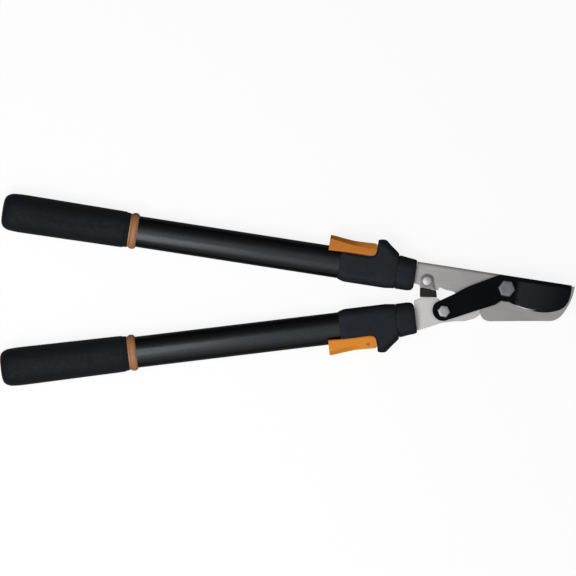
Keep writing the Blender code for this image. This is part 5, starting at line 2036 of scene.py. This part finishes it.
    def nut(self, name: str, bore: float, top: float, centre: Point) -> Piece:
        """A hexagon nut with chamfered corners and a chamfered bore."""
        radius = bore + self.nut_wall
        low = top - self.nut_height
        rings = [
            self.disc(bore, top, centre),
            self.hexagon(radius, top, centre),
            self.hexagon(radius, low + 0.0009, centre),
            self.disc(0.855 * radius, low, centre),
            self.disc(bore + 0.0004, low, centre),
            self.disc(bore, low + 0.0004, centre),
        ]
        return solid(name, rings, closed=True, smooth=24)

    def build_pivot(self) -> None:
        """The main pivot's bolt, washer and nut."""
        face, bore = self.hook_top - self.thick - GAP, self.pivot[0] + GAP
        bolt = self.bolt("pivot_screw", self.pivot, face, (0, 0))
        self.keep(bolt, "upper_arm", PIVOT_STEEL, "main_pivot_bolt")
        ring = self.washer("pivot_ring", bore, face, (0, 0))
        self.keep(ring, "upper_arm", PLATED_STEEL, "main_pivot_washer")
        nut = self.nut("pivot_hexagon", bore, self.behind_washer(face), (0, 0))
        self.keep(nut, "upper_arm", PLATED_STEEL, "main_pivot_nut")

    def build_drive(self) -> None:
        """The drive bolt in the blade's arm, its spacer, washer and nut."""
        place, face, bore = self.drive_place, self.lower_back, self.drive[0] + GAP
        bolt = self.bolt("drive_screw", self.drive, face, place)
        self.keep(bolt, "blade_and_arm", PLATED_STEEL, "drive_bolt")
        profile = ring_profile(bore, bore + self.spacer_wall, GAP / 2, self.hook_top)
        spacer = turned("brass_spacer", self.place, place, profile, 72, True)
        self.keep(spacer, "blade_and_arm", BRASS, "drive_spacer")
        ring = self.washer("drive_ring", bore, face, place)
        self.keep(ring, "blade_and_arm", PLATED_STEEL, "drive_washer")
        nut = self.nut("drive_hexagon", bore, self.behind_washer(face), place)
        self.keep(nut, "blade_and_arm", PLATED_STEEL, "drive_nut")

    def build_fulcrum(self) -> None:
        """The fulcrum pin with its flush head and its peened tail over a washer."""
        place, face = self.fulcrum_place, self.lower_back
        tail = self.behind_washer(face)
        shaft, head, rise = self.fulcrum
        seat = self.hook_top - GAP - rise
        bore = shaft + GAP
        wide = bore + 0.0010
        profile = [
            (0.8 * bore, tail - 0.0016), (0.93 * wide, tail - 0.0014), (wide, tail - 0.0009),
            (wide, tail)
        ]
        profile += [(shaft, tail), (shaft, seat), (head - 0.0002, seat), (head, seat + 0.0002)]
        profile += [(head, seat + rise - 0.0003), (head - 0.0003, seat + rise)]
        rivet = turned("fulcrum_rivet", self.place, place, profile, 72)
        self.keep(rivet, "upper_arm", PLATED_STEEL, "fulcrum_pin")
        ring = self.washer("fulcrum_ring", bore, face, place)
        self.keep(ring, "upper_arm", PLATED_STEEL, "fulcrum_washer")


# Studio


@dataclass(frozen=True)
class Softbox:
    """A large soft lamp.

    Args:
        name: the lamp's name.
        spot: where it hangs.
        aim: what it faces.
        size: its width and height.
        power: its watts.
    """

    name: str
    spot: Triple
    aim: Triple
    size: tuple[float, float]
    power: float

    def hang(self) -> None:
        """Adds the lamp to the scene."""
        data = bpy.data.lights.new(self.name, "AREA")
        data.shape = "RECTANGLE"
        data.size, data.size_y = self.size
        data.energy = self.power
        lamp = bpy.data.objects.new(self.name, data)
        bpy.context.scene.collection.objects.link(lamp)
        lamp.location = self.spot
        way = Vector(self.aim) - Vector(self.spot)
        lamp.rotation_euler = way.to_track_quat("-Z", "Y").to_euler()


SOFTBOXES = (
    Softbox("overhead", (-0.50, -0.46, 1.30), (-0.46, -0.31, 0.0), (0.60, 1.10), 8.8),
    Softbox("side", (0.02, -0.50, 0.22), (0.0, -0.03, 0.01), (1.00, 0.16), 0.1),
)


@dataclass
class Studio:
    """Floor, lights and camera.

    Args:
        target, distance, turn: what the camera looks down at, from how far and how turned.
        width, sensor: how much it sees across, and the width of its sensor.
        clip: the nearest and farthest that it sees.
        floor_reach, floor_shade, floor_glow: the floor's reach, grey and glow towards the camera.
        above, around: the surrounding light's strength overhead and at the horizon.
        near_side, far_side: its shares on the side of negative and of positive y.
    """

    target: Triple = (0.00085, 0.00708, 0.0155)
    turn: float = math.radians(0.965)
    width: float = 0.6394
    distance: float = 8.0
    sensor: float = 36.0
    clip: Point = (0.5, 30.0)
    floor_reach: float = 8.0
    floor_shade: float = 0.18
    floor_glow: float = 0.86
    above: float = 0.66
    around: float = 0.09
    near_side: float = 1.40
    far_side: float = 0.25

    def build(self) -> None:
        """Builds the whole setting."""
        scene = bpy.context.scene
        scene.view_settings.view_transform = "Standard"
        self.lay_floor()
        self.light_world()
        for box in SOFTBOXES:
            box.hang()
        self.aim_camera()

    def lay_floor(self) -> None:
        """The pale floor under the object."""
        reach, low = self.floor_reach, CAD_BOUNDS[0][2]
        corners = [
            Vector((x * reach, y * reach, low)) for x, y in ((-1, -1), (1, -1), (1, 1), (-1, 1))
        ]
        mesh = bmesh.new()
        mesh.faces.new([mesh.verts.new(corner) for corner in corners])
        data = bpy.data.meshes.new("pale_floor")
        mesh.to_mesh(data)
        mesh.free()
        floor = bpy.data.objects.new("pale_floor", data)
        bpy.context.scene.collection.objects.link(floor)
        made = bpy.data.materials.new("floor_paper")
        made.use_nodes = True
        tree = Tree(made.node_tree)
        shader = made.node_tree.nodes["Principled BSDF"]
        shader.inputs["Base Color"].default_value = (*(self.floor_shade,) * 3, 1.0)
        shader.inputs["Roughness"].default_value = 0.9
        seen = tree.node("ShaderNodeLightPath").outputs["Is Camera Ray"]
        shader.inputs["Emission Color"].default_value = (1.0, 1.0, 1.0, 1.0)
        tree.put(shader.inputs["Emission Strength"], tree.times(seen, self.floor_glow))
        data.materials.append(made)

    def light_world(self) -> None:
        """Sets a soft surrounding light, stronger overhead and on the near side."""
        world = bpy.data.worlds.new("soft_surround")
        world.use_nodes = True
        tree = Tree(world.node_tree)
        sky = world.node_tree.nodes["Background"]
        sky.inputs["Color"].default_value = (1.0, 1.0, 1.0, 1.0)
        facing = tree.node("ShaderNodeTexCoord").outputs["Generated"]
        parts = tree.node("ShaderNodeSeparateXYZ", {0: facing}).outputs
        glow = tree.span(parts["Z"], 0.35, 0.95, self.around, self.above)
        side = tree.span(parts["Y"], -0.5, 0.5, self.near_side, self.far_side)
        tree.put(sky.inputs["Strength"], tree.times(glow, side))
        bpy.context.scene.world = world

    def aim_camera(self) -> None:
        """Looks straight down at the closed tool from far away."""
        data = bpy.data.cameras.new("camera")
        data.sensor_width = self.sensor
        data.lens = self.sensor * self.distance / self.width
        data.clip_start, data.clip_end = self.clip
        camera = bpy.data.objects.new("camera", data)
        bpy.context.scene.collection.objects.link(camera)
        camera.location = Vector(self.target) + Vector((0.0, 0.0, self.distance))
        camera.rotation_euler = (0.0, 0.0, self.turn)
        bpy.context.scene.camera = camera


def main() -> None:
    """Builds the model and its setting in order."""
    logging.basicConfig(level=logging.INFO, format="%(name)s: %(message)s")
    upper, lower = Handle(Side.UPPER), Handle(Side.LOWER)
    upper.build()
    lower.build()
    Head(upper, lower).build()
    Studio().build()


if __name__ == "__main__":
    main()
